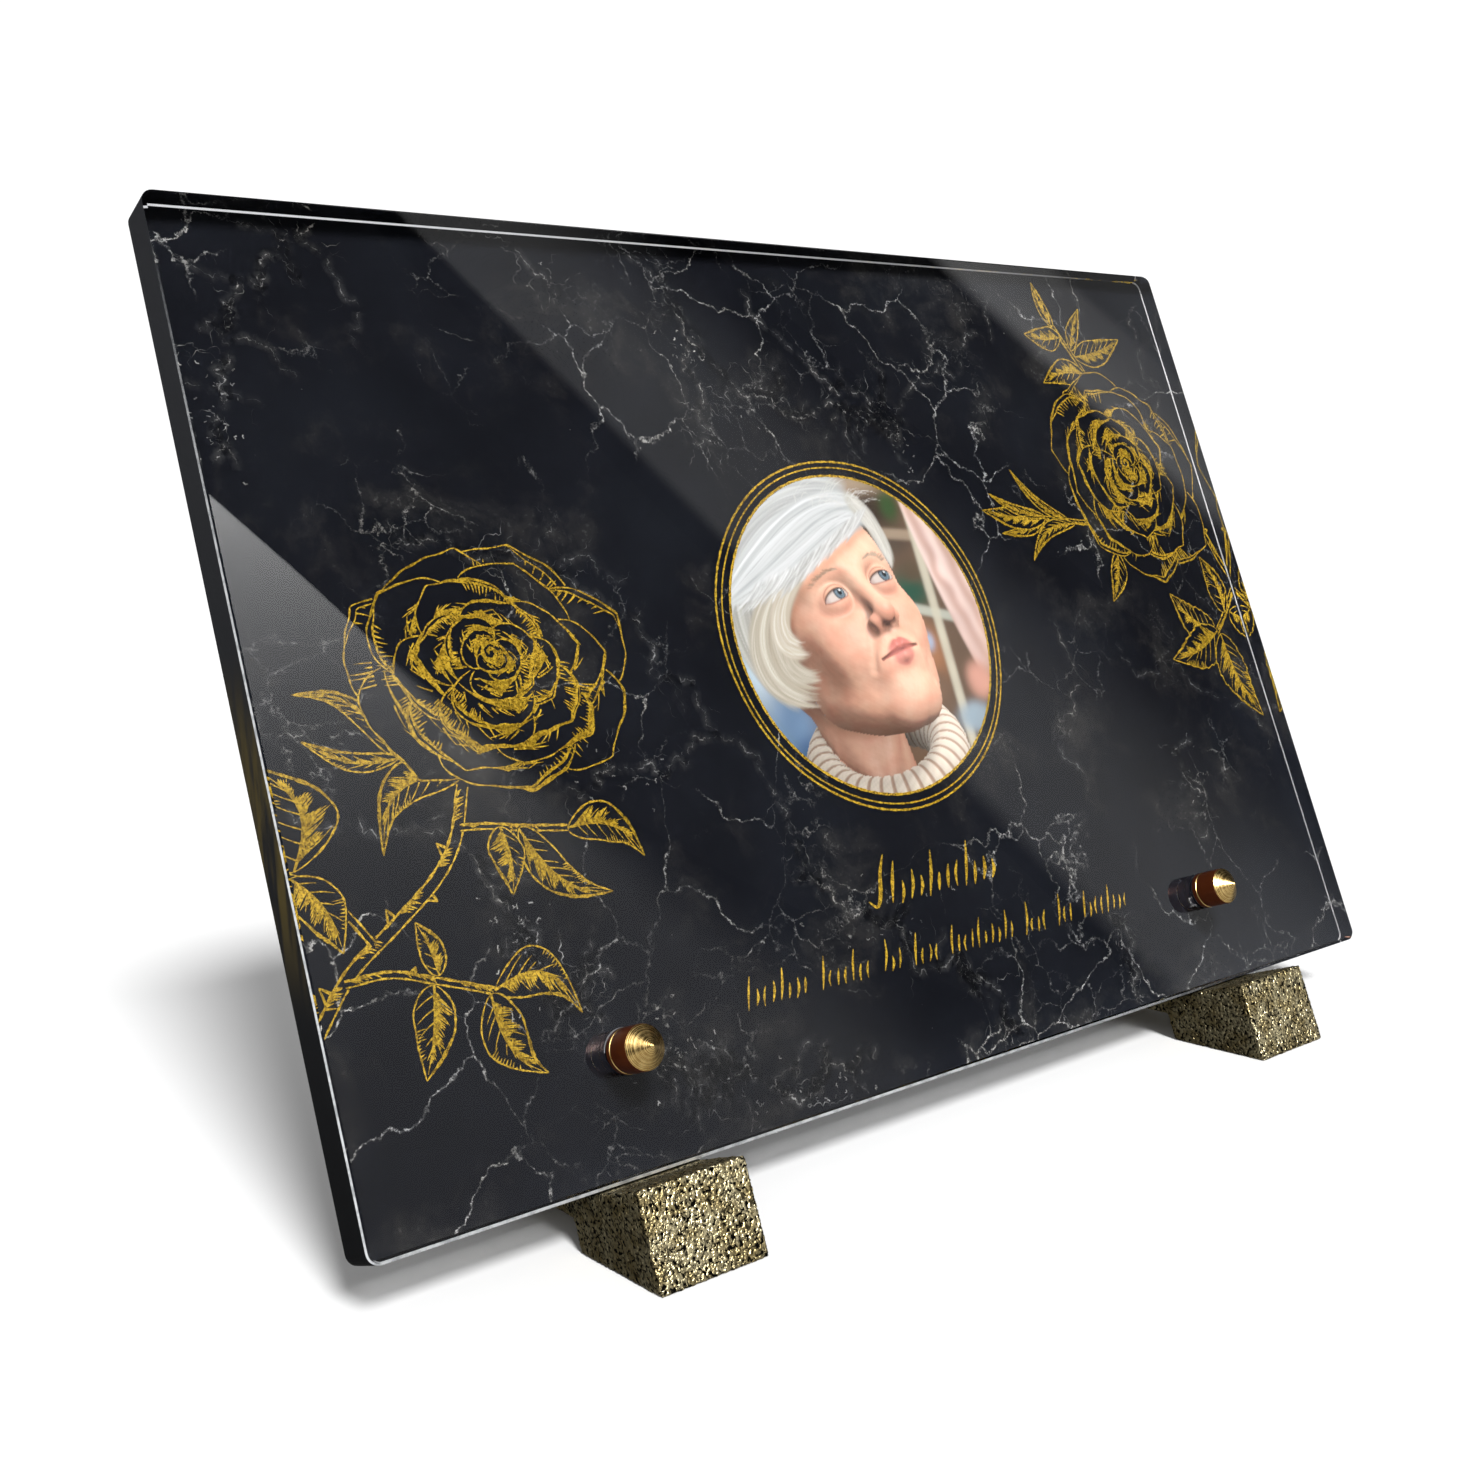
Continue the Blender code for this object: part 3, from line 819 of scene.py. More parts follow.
# The veins that stand out: rough route in plate millimetres, width, strength, how often they branch
VEINS = (
    (((-113, 200), (-122, 193), (-128, 184), (-136, 175), (-141, 166), (-142, 156), (-145, 147)),
     0.36, 0.9, 0.10),
    (((-136, 174), (-129, 171), (-124, 163)), 0.20, 0.5, 0.04),
    (((-119, 200), (-112, 190), (-108, 182), (-110, 171)), 0.24, 0.6, 0.08),
    (((-76, 200), (-67, 198), (-64, 192), (-59, 187), (-60, 182)), 0.30, 0.8, 0.08),
    (((-38, 200), (-33, 195), (-27, 186), (-24, 175), (-16, 166), (-2, 157), (15, 160), (33, 161)),
     0.38, 0.8, 0.10),
    (((-25, 176), (-29, 168), (-26, 160), (-34, 149)), 0.28, 0.7, 0.08),
    (((-5, 190), (1, 179), (12, 168), (27, 160), (34, 153), (34, 142)), 0.34, 0.8, 0.10),
    (((35, 154), (50, 166), (64, 172), (79, 180), (84, 196)), 0.26, 0.55, 0.08),
    (((-112, 136), (-101, 130), (-89, 125), (-75, 121), (-66, 114), (-59, 106), (-48, 94)),
     0.30, 0.6, 0.10),
    (((-76, 121), (-67, 125), (-59, 119)), 0.22, 0.5, 0.06),
    (((-149, 100), (-142, 96), (-136, 93)), 0.30, 0.8, 0.06),
    (((-88, 79), (-78, 75), (-68, 78), (-56, 77), (-45, 82)), 0.28, 0.6, 0.08),
    (((-145, 82), (-138, 76), (-128, 72), (-118, 72), (-111, 67)), 0.30, 0.7, 0.08),
    (((-111, 67), (-109, 61), (-105, 56), (-103, 48), (-101, 40), (-96, 35), (-89, 29)),
     0.44, 1.0, 0.14),
    (((-84, 22), (-78, 21), (-74, 15), (-72, 8)), 0.42, 0.9, 0.16),
    (((-71, 18), (-58, 11), (-42, 5), (-30, 2)), 0.40, 0.8, 0.16),
    (((-37, 52), (-26, 45), (-17, 39), (-8, 33), (7, 25), (15, 15), (18, 4)), 0.34, 0.7, 0.12),
    (((-48, 94), (-41, 81), (-33, 67), (-32, 53)), 0.26, 0.5, 0.08),
    (((112, 64), (106, 50), (102, 36)), 0.30, 0.8, 0.10),
    (((60, 26), (63, 14), (62, 2)), 0.32, 0.8, 0.12),
    (((141, 190), (139, 176), (141, 160), (134, 150)), 0.24, 0.5, 0.06),
    (((69, 101), (72, 82), (60, 66), (64, 52)), 0.26, 0.5, 0.08),
    (((92, 92), (104, 82), (126, 74), (148, 58)), 0.22, 0.4, 0.08),
)
# Where the stone has broken up into chips: middle, spread, how many, strength
BROKEN_PATCHES = (
    ((-26, 174), (3.0, 2.6), 46, 0.9), ((-141, 158), (2.2, 6.0), 44, 0.7),
    ((-63, 189), (3.0, 3.4), 16, 0.8),
    ((-104, 50), (3.2, 7.0), 60, 0.8), ((-76, 19), (6.0, 4.0), 90, 0.8), ((-42, 5), (9.0, 3.2), 80, 0.6),
    ((34, 150), (2.0, 5.0), 30, 0.6), ((-14, 37), (9.0, 4.0), 60, 0.5), ((-72, 77), (8.0, 3.0), 36, 0.5),
    ((0, 158), (10.0, 2.4), 30, 0.5), ((108, 52), (2.5, 8.0), 34, 0.5), ((62, 12), (1.8, 6.0), 30, 0.6),
)


def crackle(rng, start, end, roughness):
    """A line that wanders between two points as a crack does, by halving it again and again."""
    points = np.array([start, end], float)
    while np.linalg.norm(points[1] - points[0]) > 0.55:
        middle = (points[1:] + points[:-1]) / 2
        step = points[1:] - points[:-1]
        side = np.stack([-step[:, 1], step[:, 0]], axis=1)
        push = np.array([rng.gauss(0, roughness) for _ in middle])[:, None]
        woven = np.empty((len(points) + len(middle), 2))
        woven[0::2] = points
        woven[1::2] = middle + side * push
        points = woven
    return points


def vein(lines, rng, route, width, force, branching):
    """A vein along a rough route, brighter and wider in places, with finer ones leaving it."""
    whole = [crackle(rng, a, b, 0.21) for a, b in zip(route, route[1:])]
    line = np.vstack([piece[:-1] for piece in whole] + [np.asarray(route[-1:], float)])
    count = len(line)
    a, b, c = (rng.uniform(0, 6.3) for _ in range(3))
    t = np.arange(count)
    surge = 0.5 + 0.3 * np.sin(t * 0.11 + a) + 0.25 * np.sin(t * 0.29 + b) + 0.22 * np.sin(t * 0.71 + c)
    ends = np.minimum(1, np.minimum(t, count - 1 - t) / 12 + 0.15)
    widths = width * (0.26 + 0.62 * np.clip(surge, 0, 1.2)) * ends
    lines.append((line, widths, force * np.clip(surge, 0.05, 1) * ends))
    if width < 0.16:
        return
    if count > 12:
        haze = line[::3]
        faint = (0.08 * force * np.clip(surge, 0, 1) * ends)[::3]
        lines.append((haze, np.full(len(haze), 1.5), faint))
    for i in range(6, count - 6):
        if rng.random() > branching:
            continue
        way = line[min(i + 5, count - 1)] - line[i - 5]
        way = way / max(np.linalg.norm(way), 1e-6)
        angle = rng.choice((-1, 1)) * rng.uniform(0.4, 1.5)
        c, s = math.cos(angle), math.sin(angle)
        way = np.array([way[0] * c - way[1] * s, way[0] * s + way[1] * c])
        reach = rng.uniform(2, 15) * (width / 0.4)
        stray = np.array([rng.gauss(0, 1.5), rng.gauss(0, 1.5)])
        branch = [line[i], line[i] + way * reach * 0.5, line[i] + way * reach + stray]
        thin, faint = width * rng.uniform(0.35, 0.6), force * rng.uniform(0.35, 0.8)
        vein(lines, rng, branch, thin, faint, branching)


def flecks(lines, rng, centre, spread, count, force):
    """A patch where the stone has broken up into short bright chips."""
    for _ in range(count):
        at = np.array(centre, float) + [rng.gauss(0, spread[0]), rng.gauss(0, spread[1])]
        way = np.array([rng.gauss(0, 1), rng.gauss(0, 1)]) * 0.5
        line = crackle(rng, at, at + way, 0.3)
        widths = np.full(len(line), rng.uniform(0.08, 0.24))
        lines.append((line, widths, np.full(len(line), force * rng.uniform(0.3, 1))))


# Half the width, in millimetres, under which a vein is drawn with every other point
FINE_VEIN = 0.15


def stretches(lines, gap=0.8):
    """The parts of the veins on the print, clear of its edge and holes, fine ones with fewer points."""
    for line, widths, force in lines:
        x, s = line[:, 0], line[:, 1]
        kept = (abs(x) < WIDE_MM / 2 - gap - widths) & (s > gap + widths) & (s < TALL_MM - gap - widths)
        for hole in (-NUT_X, NUT_X):
            kept &= np.hypot(x - hole / MM, s - NUT_S / MM) > HOLE_RADIUS / MM + 0.3 + widths
        turns = np.flatnonzero(np.diff(np.concatenate([[0], kept.astype(int), [0]])))
        for start, end in zip(turns[::2], turns[1::2]):
            part = np.arange(start, end)
            if len(part) > 9 and widths.max() < FINE_VEIN:
                part = part[::2]
            if len(part) >= 3:
                yield line[part], widths[part], force[part]


def marble_veins(material):
    """The veins that stand out: soft-edged ribbons of the same print, brightest along their middles."""
    rng = random.Random(31)
    lines = []
    for route, width, force, branching in VEINS:
        vein(lines, rng, route, width, force, branching)
    for centre, spread, count, force in BROKEN_PATCHES:
        flecks(lines, rng, centre, spread, count, force)
    made = bmesh.new()
    glow = made.verts.layers.float.new("vein")
    for line, widths, force in stretches(lines):
        out = across_line(line)[1] * widths[:, None]
        rows = []
        for place, strength in ((line + out, None), (line, force), (line - out, None)):
            row = []
            for i, (x, s) in enumerate(place):
                vertex = made.verts.new((x * MM, s * MM, 0.0))
                vertex[glow] = 0.0 if strength is None else strength[i]
                row.append(vertex)
            rows.append(row)
        for one, two in zip(rows, rows[1:]):
            for i in range(len(line) - 1):
                made.faces.new((one[i], two[i], two[i + 1], one[i + 1]))
    return finish_film(made, "marble_veins", 1, material)


# The medallion's middle, and its rings: radius, width, how far below the middle
MEDALLION = np.array([5.3, 102.2])
PICTURE_RADIUS = 39.3
RINGS = ((43.1, 0.50, 0.0), (41.6, 0.38, -0.15), (PICTURE_RADIUS + 0.1, 0.60, 0.0))


def medallion_rings():
    """The gold rings round the picture, inked by hand: two close together, and one on its edge."""
    drawing = Drawing(5)
    for radius, width, drop in RINGS:
        count = int(2 * math.pi * radius / 0.5)
        angle = np.linspace(0.0, 2 * math.pi, count + 1)
        wander = 0.12 * np.sin(3 * angle + radius) + 0.08 * np.sin(7 * angle)
        ring = np.stack([np.cos(angle), np.sin(angle)], axis=1) * (radius + wander)[:, None]
        drawing.pen(MEDALLION + (0.0, drop) + ring, width, (0.0, 0.0), 0.30)
    return drawing


def inscription_row(seed, start, end, base, tall, slant, groups, pen_width):
    """A row of lone slanted pen strokes in groups, swelling to their middles. None is a letter."""
    drawing = Drawing(seed)
    rng = drawing.rng
    pitch = (end - start) / (sum(groups) + (len(groups) - 1) * 1.3)
    x = start
    for count in groups:
        for k in range(count):
            top = tall * (rng.uniform(0.86, 1.0) if k % 4 == 0 else rng.uniform(0.42, 0.62))
            foot = tall * rng.uniform(-0.05, 0.05)
            bow = pitch * rng.uniform(-0.22, 0.22)
            low, high = (x + slant * foot, base + foot), (x + slant * top, base + top)
            middle = ((low[0] + high[0]) / 2 + bow, (low[1] + high[1]) / 2)
            stroke = smooth_line([low, middle, high], 0.3)
            drawing.pen(stroke, pen_width * rng.uniform(0.8, 1.1), (0.5, 0.5), 0.08)
            x += pitch
        x += pitch * 1.3
    return drawing


def turn(axis, degrees):
    """A turn about an axis, as a matrix."""
    a = math.radians(degrees)
    c, s = math.cos(a), math.sin(a)
    i, j = {"x": (1, 2), "y": (2, 0), "z": (0, 1)}[axis]
    m = np.eye(3)
    m[i, i] = c
    m[j, j] = c
    m[i, j] = -s
    m[j, i] = s
    return m


# The head's own frame: millimetres before HEAD_SIZE, y up, z out of the face, origin between the eyes
HEAD_TURN = turn("z", 13) @ turn("y", 29) @ turn("x", -17)
HEAD_SIZE = 1.50
HEAD_AT = np.array([-7.2, 1.8, 0.0])
EYE = (6.1, -0.2, 12.7)


def ball(p, centre, radii):
    """How far places lie outside an egg."""
    q = (p - np.array(centre)) / np.array(radii)
    far = np.sqrt((q * q).sum(-1))
    q = q / np.array(radii)
    return far * (far - 1) / np.maximum(np.sqrt((q * q).sum(-1)), 1e-6)


def rod(p, start, end, radius, end_radius):
    """How far places lie outside a round bar that tapers."""
    start = np.array(start, float)
    along = np.array(end, float) - start
    t = np.clip(((p - start) @ along) / (along @ along), 0, 1)
    away = np.linalg.norm(p - start - t[..., None] * along, axis=-1)
    return away - (radius + (end_radius - radius) * t)


def join(a, b, soft):
    """Two solids grown together over a soft seam."""
    h = np.clip(0.5 + 0.5 * (b - a) / soft, 0, 1)
    return b * (1 - h) + a * h - soft * h * (1 - h)


def carve(a, b, soft):
    return -join(-a, b, soft)


def face(p):
    """A plain grown-up head: skull, jaw, chin, cheeks, brow, eye hollows, nose, mouth, and eyes last."""
    m = p.copy()
    m[..., 0] = np.abs(m[..., 0])
    d = ball(p, (0, 5.5, -4.5), (16.2, 18.0, 19.0))
    d = join(d, ball(p, (0, 5.5, 3.6), (13.6, 14.0, 12.4)), 5.0)
    d = join(d, ball(p, (0, -6.0, 4.6), (12.4, 14.2, 10.6)), 4.5)
    d = join(d, rod(m, (2.8, -18.6, 9.8), (9.2, -11.0, 0.5), 3.9, 4.2), 6.0)
    d = join(d, ball(p, (0, -19.0, 11.4), (4.4, 3.7, 3.9)), 4.0)
    d = join(d, ball(m, (7.0, -6.4, 10.4), (5.0, 5.2, 4.6)), 4.5)
    d = join(d, rod(m, (2.4, 3.7, 15.4), (9.0, 4.1, 11.8), 1.6, 1.4), 3.0)
    d = carve(d, ball(m, (6.0, 0.1, 18.4), (4.2, 2.7, 4.6)), 3.2)
    d = join(d, rod(p, (0, 2.0, 15.4), (0, -5.8, 19.4), 1.2, 1.7), 2.8)
    d = join(d, ball(p, (0, -6.5, 19.5), (2.0, 1.75, 2.0)), 1.4)
    d = join(d, ball(m, (2.3, -7.0, 17.4), (1.45, 1.4, 2.0)), 1.0)
    d = carve(d, ball(m, (1.15, -8.5, 18.6), (0.72, 0.6, 1.1)), 0.5)
    d = join(d, ball(p, (0, -12.6, 13.8), (5.8, 4.4, 3.8)), 3.5)
    d = join(d, rod(m, (0.7, -11.8, 17.4), (4.4, -12.6, 15.2), 0.8, 0.3), 0.9)
    d = join(d, rod(m, (0.0, -13.9, 17.1), (3.7, -12.95, 15.3), 1.05, 0.4), 0.8)
    d = carve(d, rod(m, (0, -12.75, 18.7), (4.7, -12.6, 16.0), 0.28, 0.2), 0.5)
    d = carve(d, ball(p, (0, -16.4, 17.7), (3.0, 0.7, 0.9)), 2.6)
    d = carve(d, rod(p, (0, -9.3, 18.5), (0, -10.8, 18.6), 0.3, 0.5), 0.9)
    d = carve(d, rod(m, (3.7, -7.6, 17.3), (7.0, -13.0, 14.6), 0.10, 0.10), 1.8)
    return join(d, ball(m, EYE, (3.65, 3.35, 3.7)), 0.9)


def neck(q):
    d = rod(q, (-11.0, -12.0, -9.0), (-7.0, -50.0, -12.0), 12.0, 13.5)
    d = join(d, rod(q, (-1.0, -20.0, -2.0), (-5.5, -42.0, 1.4), 2.4, 1.8), 3.5)
    return join(d, rod(q, (-14.0, -22.0, -1.0), (-8.0, -42.0, 1.0), 1.6, 2.0), 3.0)


def collar(q):
    p = (q - np.array([-3.0, -31.5, -7.0])) @ (turn("z", 4) @ turn("x", 38))
    ring = np.hypot(p[..., 0], p[..., 2] * 1.2) - 19.5
    around = np.arctan2(p[..., 2] * 1.2, p[..., 0])
    ribs = 0.35 * np.abs(np.sin(around * 17))
    return np.hypot(ring, p[..., 1] * 0.85) - 6.2 - ribs, around


def in_head(q):
    return ((q - HEAD_AT) @ HEAD_TURN) / HEAD_SIZE


def on_picture(head_points):
    return (np.asarray(head_points, float) * HEAD_SIZE) @ HEAD_TURN.T + HEAD_AT


def sitter(q):
    return join(face(in_head(q)) * HEAD_SIZE, neck(q), 4.0)


def everything(q):
    return np.minimum(sitter(q), collar(q)[0])


def slope(shape, q, step=0.06):
    corners = np.array([[1, -1, -1], [-1, -1, 1], [-1, 1, -1], [1, 1, 1]], float)
    n = sum(corner * shape(q + corner * step)[:, None] for corner in corners)
    return n / np.linalg.norm(n, axis=1)[:, None]


def ripple(rng, places, size, octaves=4):
    """Smooth noise about 0 from seeded waves, for places of any dimension."""
    total = 0
    for octave in range(octaves):
        for _ in range(7):
            way = rng.normal(size=places.shape[-1])
            way *= 2 * math.pi * 2**octave / size / np.linalg.norm(way)
            total = total + np.sin(places @ way + rng.uniform(0, 6.3)) / 2**octave
    return total / 5


def over(base, colour, share):
    share = np.asarray(share)[..., None]
    return base * (1 - share) + np.asarray(colour) * share


def dab(base, rgb, share):
    """Lays a screen colour over what is there."""
    return over(base, from_srgb(*rgb), share)


def soft_spot(x, y, wide, tall):
    return np.exp(-((x / wide) ** 2 + (y / tall) ** 2))


def evenly(places, rgb):
    """One colour for every one of some places."""
    return np.zeros((*places.shape[:-1], 3)) + from_srgb(*rgb)


def soft_step(value, low, high):
    t = np.clip((value - low) / (high - low), 0, 1)
    return t * t * (3 - 2 * t)


def backdrop(X, Y, rng):
    """Out of focus: a room behind glass bars, with a pink drape to the right."""
    places = np.stack([X, Y], -1)
    blot = ripple(rng, places, 16, 2)
    picture = evenly(places, (104, 84, 68))
    spots = (
        (2, 37, 16, 5, (176, 156, 134)), (12, 30, 8, 5, (62, 50, 40)), (18, 31, 3, 4, (58, 84, 48)),
        (15, 22, 7, 4, (84, 72, 60)), (18, 9, 6, 5, (40, 84, 66)), (20, 14, 4, 3, (92, 78, 60)),
        (19, -7, 5, 8, (168, 118, 84)), (19, -4, 2.0, 2.5, (172, 184, 206)),
        (18, -15, 4, 4, (120, 96, 78)),
        (-30, -20, 10, 12, (112, 138, 168)), (-26, -28, 6, 5, (64, 92, 128)),
        (-36, -4, 5, 12, (182, 200, 214)), (-33, 30, 12, 12, (196, 200, 200)),
    )
    for x, y, wide, tall, colour in spots:
        near = np.exp(-(((X - x) / wide) ** 2 + ((Y - y) / tall) ** 2) ** 1.5)
        picture = dab(picture, colour, near)
    rail = np.exp(-(((Y - 25.5 + 0.1 * X) / 1.5) ** 4)) * soft_step(X, 8, 12)
    picture = dab(picture, (178, 158, 136), rail * 0.8)
    rail = np.exp(-(((Y - 4.0 + 0.25 * (X - 20)) / 1.4) ** 4)) * soft_step(X, 12, 16)
    picture = dab(picture, (196, 200, 186), rail * 0.85)
    post = np.exp(-(((X - 24.0 - 0.012 * (26 - Y)) / 1.5) ** 4))
    picture = dab(picture, (206, 200, 180), post * 0.9)
    edge = 21.5 + (34 - Y) * 0.16 + 0.0035 * (34 - Y) ** 2 * 0.6
    drape = soft_step(X - edge, -0.5, 0.9)
    fold = 0.5 + 0.5 * np.sin((X - edge) * 1.15 + 0.06 * Y + blot)
    bright_fold = fold * soft_step(Y, -30, 25)
    cloth = dab(evenly(places, (206, 172, 160)), (240, 216, 208), bright_fold)
    picture = over(picture, cloth, drape * soft_step(Y, -17, -10))
    low = np.exp(-(((X - 33) / 4.5) ** 2 + ((Y + 15) / 5) ** 2) ** 2)
    picture = dab(picture, (214, 160, 142), low)
    low = np.exp(-(((X - 28) / 6) ** 2 + ((Y + 24) / 4) ** 2) ** 2)
    picture = dab(picture, (160, 178, 190), low)
    return picture * (1 + 0.10 * blot[..., None])


LIGHT = np.array([0.46, 0.60, 0.66]) / np.linalg.norm([0.46, 0.60, 0.66])


def lit(q, normal):
    """Soft light from the upper right, with the shadows that the head and collar throw."""
    open_sky = np.ones(len(q))
    for reach in (0.9, 2.2, 5.0):
        open_sky -= 0.24 * np.clip(reach - everything(q + normal * reach), 0, reach) / reach
    shade = np.ones(len(q))
    t = np.full(len(q), 0.7)
    for _ in range(14):
        gap = everything(q + LIGHT * t[:, None])
        shade = np.minimum(shade, np.clip(5 * gap / t, 0, 1))
        t += np.clip(gap, 0.5, 3)
    direct = np.clip((normal @ LIGHT + 0.22) / 1.22, 0, 1) * (0.30 + 0.70 * shade)
    sky = open_sky * (0.62 + 0.38 * normal[:, 1])
    return direct, sky


def skin_paint(q, rng):
    """The skin's own tones, times the light that reaches it."""
    p = in_head(q)
    m = p.copy()
    m[:, 0] = np.abs(m[:, 0])

    def fine(where):
        h = in_head(where)
        wave = 0.5 + 0.5 * np.sin(h[:, 1] * 3.6 + 0.5 * np.sin(h[:, 0] * 0.4))
        brow_lines = wave * np.exp(-(((h[:, 1] - 10.5) / 3.5) ** 2)) * np.exp(-((h[:, 0] / 8) ** 2))
        return everything(where) + 0.022 * grain(where) + 0.05 * brow_lines

    seeds = rng.integers(1 << 30)

    def grain(where):
        return ripple(np.random.default_rng(seeds), where, 2.4, 3)

    n = slope(fine, q, 0.11)
    direct, sky = lit(q, n)
    tone = evenly(q, (240, 198, 174))
    mottle = ripple(rng, q, 7, 3)
    tone = dab(tone, (232, 168, 144), np.clip(0.30 + 0.30 * mottle, 0, 1))
    tone = dab(tone, (244, 208, 186), soft_step(p[:, 1], 4, 12) * 0.6)
    blush = soft_spot(m[:, 0] - 7.5, p[:, 1] + 6.0, 4.0, 3.6)
    tone = dab(tone, (224, 138, 116), blush * 0.45 * (p[:, 2] > 4))
    nose = soft_spot(p[:, 0], p[:, 1] + 7.0, 3.0, 2.4) * (p[:, 2] > 14)
    tone = dab(tone, (222, 136, 116), nose * 0.45)
    lips = np.minimum(rod(m, (0.6, -11.9, 17.6), (4.3, -12.6, 15.3), 1.0, 0.4),
                      rod(m, (0.0, -13.8, 17.2), (3.7, -12.95, 15.4), 1.35, 0.5))
    tone = dab(tone, (206, 116, 112), (1 - soft_step(lips, 0.0, 0.55)) * 0.85)
    full_lip = soft_spot(m[:, 0], p[:, 1] + 14.3, 2.8, 1.0) * (p[:, 2] > 13)
    tone = dab(tone, (238, 170, 156), full_lip * 0.7)
    under = soft_spot(m[:, 0] - 6.3, p[:, 1] + 2.2, 3.6, 1.4) * (p[:, 2] > 8)
    tone = dab(tone, (196, 128, 112), under * 0.35)
    warm = np.array([1.0, 0.90, 0.82])
    cool = np.array([0.92, 0.97, 1.0])
    light = direct[:, None] * 0.92 * warm + sky[:, None] * 0.62 * cool
    deep = np.clip(1 - direct * 1.3, 0, 1) ** 2
    tone = over(tone, tone * np.array([1.0, 0.80, 0.70]), deep * 0.6)
    half = LIGHT + np.array([0, 0, 1.0])
    half /= np.linalg.norm(half)
    gloss = np.clip(n @ half, 0, 1) ** 22 * 0.10
    colour = tone * light + gloss[:, None]
    seam = rod(m, (0, -12.75, 17.9), (4.5, -12.65, 15.6), 0.0, 0.0)
    return dab(colour, (96, 44, 40), np.exp(-((seam / 0.42) ** 2)) * 0.75)


def eye_paint(q, colour):
    """Paints the eyes' almonds, irises, lashes and lids over the lit skin."""
    p = in_head(q)
    side = np.sign(p[:, 0])
    x = (np.abs(p[:, 0]) - 6.15) / 2.95
    y = p[:, 1] - 0.10 + 0.12 * x
    arch = np.sqrt(np.maximum(1 - np.abs(x) ** 2.0, 0))
    front = p[:, 2] > 11
    gap = np.maximum(y - 1.20 * arch, -0.95 * arch - y)
    gap = np.where(np.abs(x) < 1, gap, 0.3 + np.abs(x) - 1)
    near_light = np.clip(colour.sum(1) / 1.2, 0.35, 1.0)
    white = np.array(from_srgb(222, 208, 200)) * near_light[:, None]
    white = dab(white, (150, 105, 96), soft_step(np.abs(x), 0.6, 1.0) * 0.5)
    white = dab(white, (84, 60, 54), soft_step(y, 0.45, 1.2) * 0.55)
    iris_x = p[:, 0] - side * 6.15 - 0.55
    iris_y = p[:, 1] - 0.38
    far = np.hypot(iris_x, iris_y)
    spokes = 0.5 + 0.5 * np.sin(np.arctan2(iris_y, iris_x) * 19)
    ring = dab(evenly(q, (96, 118, 134)), (150, 168, 178), spokes * 0.5)
    ring = dab(ring, (38, 46, 54), soft_step(far, 0.95, 1.25))
    ring = dab(ring, (8, 8, 10), 1 - soft_step(far, 0.42, 0.58))
    ring = dab(ring, (40, 30, 28), soft_step(y, 0.5, 1.1) * 0.6)
    white = over(white, ring, 1 - soft_step(far, 1.22, 1.40))
    glint = np.hypot(iris_x - 0.35, iris_y - 0.42)
    white = over(white, (1.0, 1.0, 1.0), 1 - soft_step(glint, 0.16, 0.34))
    colour = over(colour, white, (1 - soft_step(gap, -0.12, 0.05)) * front)
    lash = np.exp(-(((y - 1.24 * arch) / 0.24) ** 2)) * (np.abs(x) < 1.04)
    colour = dab(colour, (60, 36, 30), lash * front * 0.9)
    lower = np.exp(-(((y + 0.98 * arch) / 0.17) ** 2)) * (np.abs(x) < 1.0)
    colour = dab(colour, (150, 92, 80), lower * front * 0.6)
    fold = np.exp(-(((y - 2.0 * arch - 0.15) / 0.22) ** 2)) * (np.abs(x) < 1.0)
    return dab(colour, (150, 92, 72), fold * front * 0.55)


def knit_paint(q):
    """The roll collar's stripes and stitches."""
    n = slope(lambda where: collar(where)[0], q, 0.12)
    direct, sky = lit(q, n)
    around = collar(q)[1]
    stripe = soft_step(np.cos(around * 17 * 2), 0.30, 0.95)
    tone = dab(evenly(q, (240, 228, 212)), (168, 128, 104), stripe * 0.75)
    stitch = np.sin(around * 17 * 6) * np.sin(q[:, 1] * 4.0 + q[:, 0] * 2)
    tone *= 1 + 0.07 * stitch[:, None]
    return tone * (direct[:, None] * 0.74 + sky[:, None] * 0.48)


class Canvas:
    """The picture while it is painted, as square cells of light."""

    def __init__(self, cells):
        self.cells = cells
        self.pitch = 2 * PICTURE_RADIUS / cells
        across = (np.arange(cells) + 0.5) * self.pitch - PICTURE_RADIUS
        self.X, self.Y = np.meshgrid(across, across)
        self.light = np.zeros((cells, cells, 3))

    def hair(self, line, width, colour, cover):
        """One strand, laid over what is there, thinning to its ends."""
        t = np.linspace(0, 1, len(line))
        body = np.minimum(1, np.minimum(t, 1 - t) * 7 + 0.15)
        reach = int(math.ceil(width / self.pitch)) + 1
        col = np.floor((line[:, 0] + PICTURE_RADIUS) / self.pitch).astype(int)
        row = np.floor((line[:, 1] + PICTURE_RADIUS) / self.pitch).astype(int)
        low_c, high_c = max(col.min() - reach, 0), min(col.max() + reach + 1, self.cells)
        low_r, high_r = max(row.min() - reach, 0), min(row.max() + reach + 1, self.cells)
        if low_c >= high_c or low_r >= high_r:
            return
        mask = np.zeros((high_r - low_r, high_c - low_c))
        for dr in range(-reach, reach + 1):
            for dc in range(-reach, reach + 1):
                r, c = row + dr, col + dc
                good = (r >= low_r) & (r < high_r) & (c >= low_c) & (c < high_c)
                r, c = r[good], c[good]
                away = np.hypot((c + 0.5) * self.pitch - PICTURE_RADIUS - line[good, 0],
                                (r + 0.5) * self.pitch - PICTURE_RADIUS - line[good, 1])
                here = body[good] * np.clip(1.15 - away / width, 0, 1)
                np.maximum.at(mask, (r - low_r, c - low_c), here)
        part = self.light[low_r:high_r, low_c:high_c]
        part[...] = over(part, colour, np.clip(mask, 0, 1) * cover)


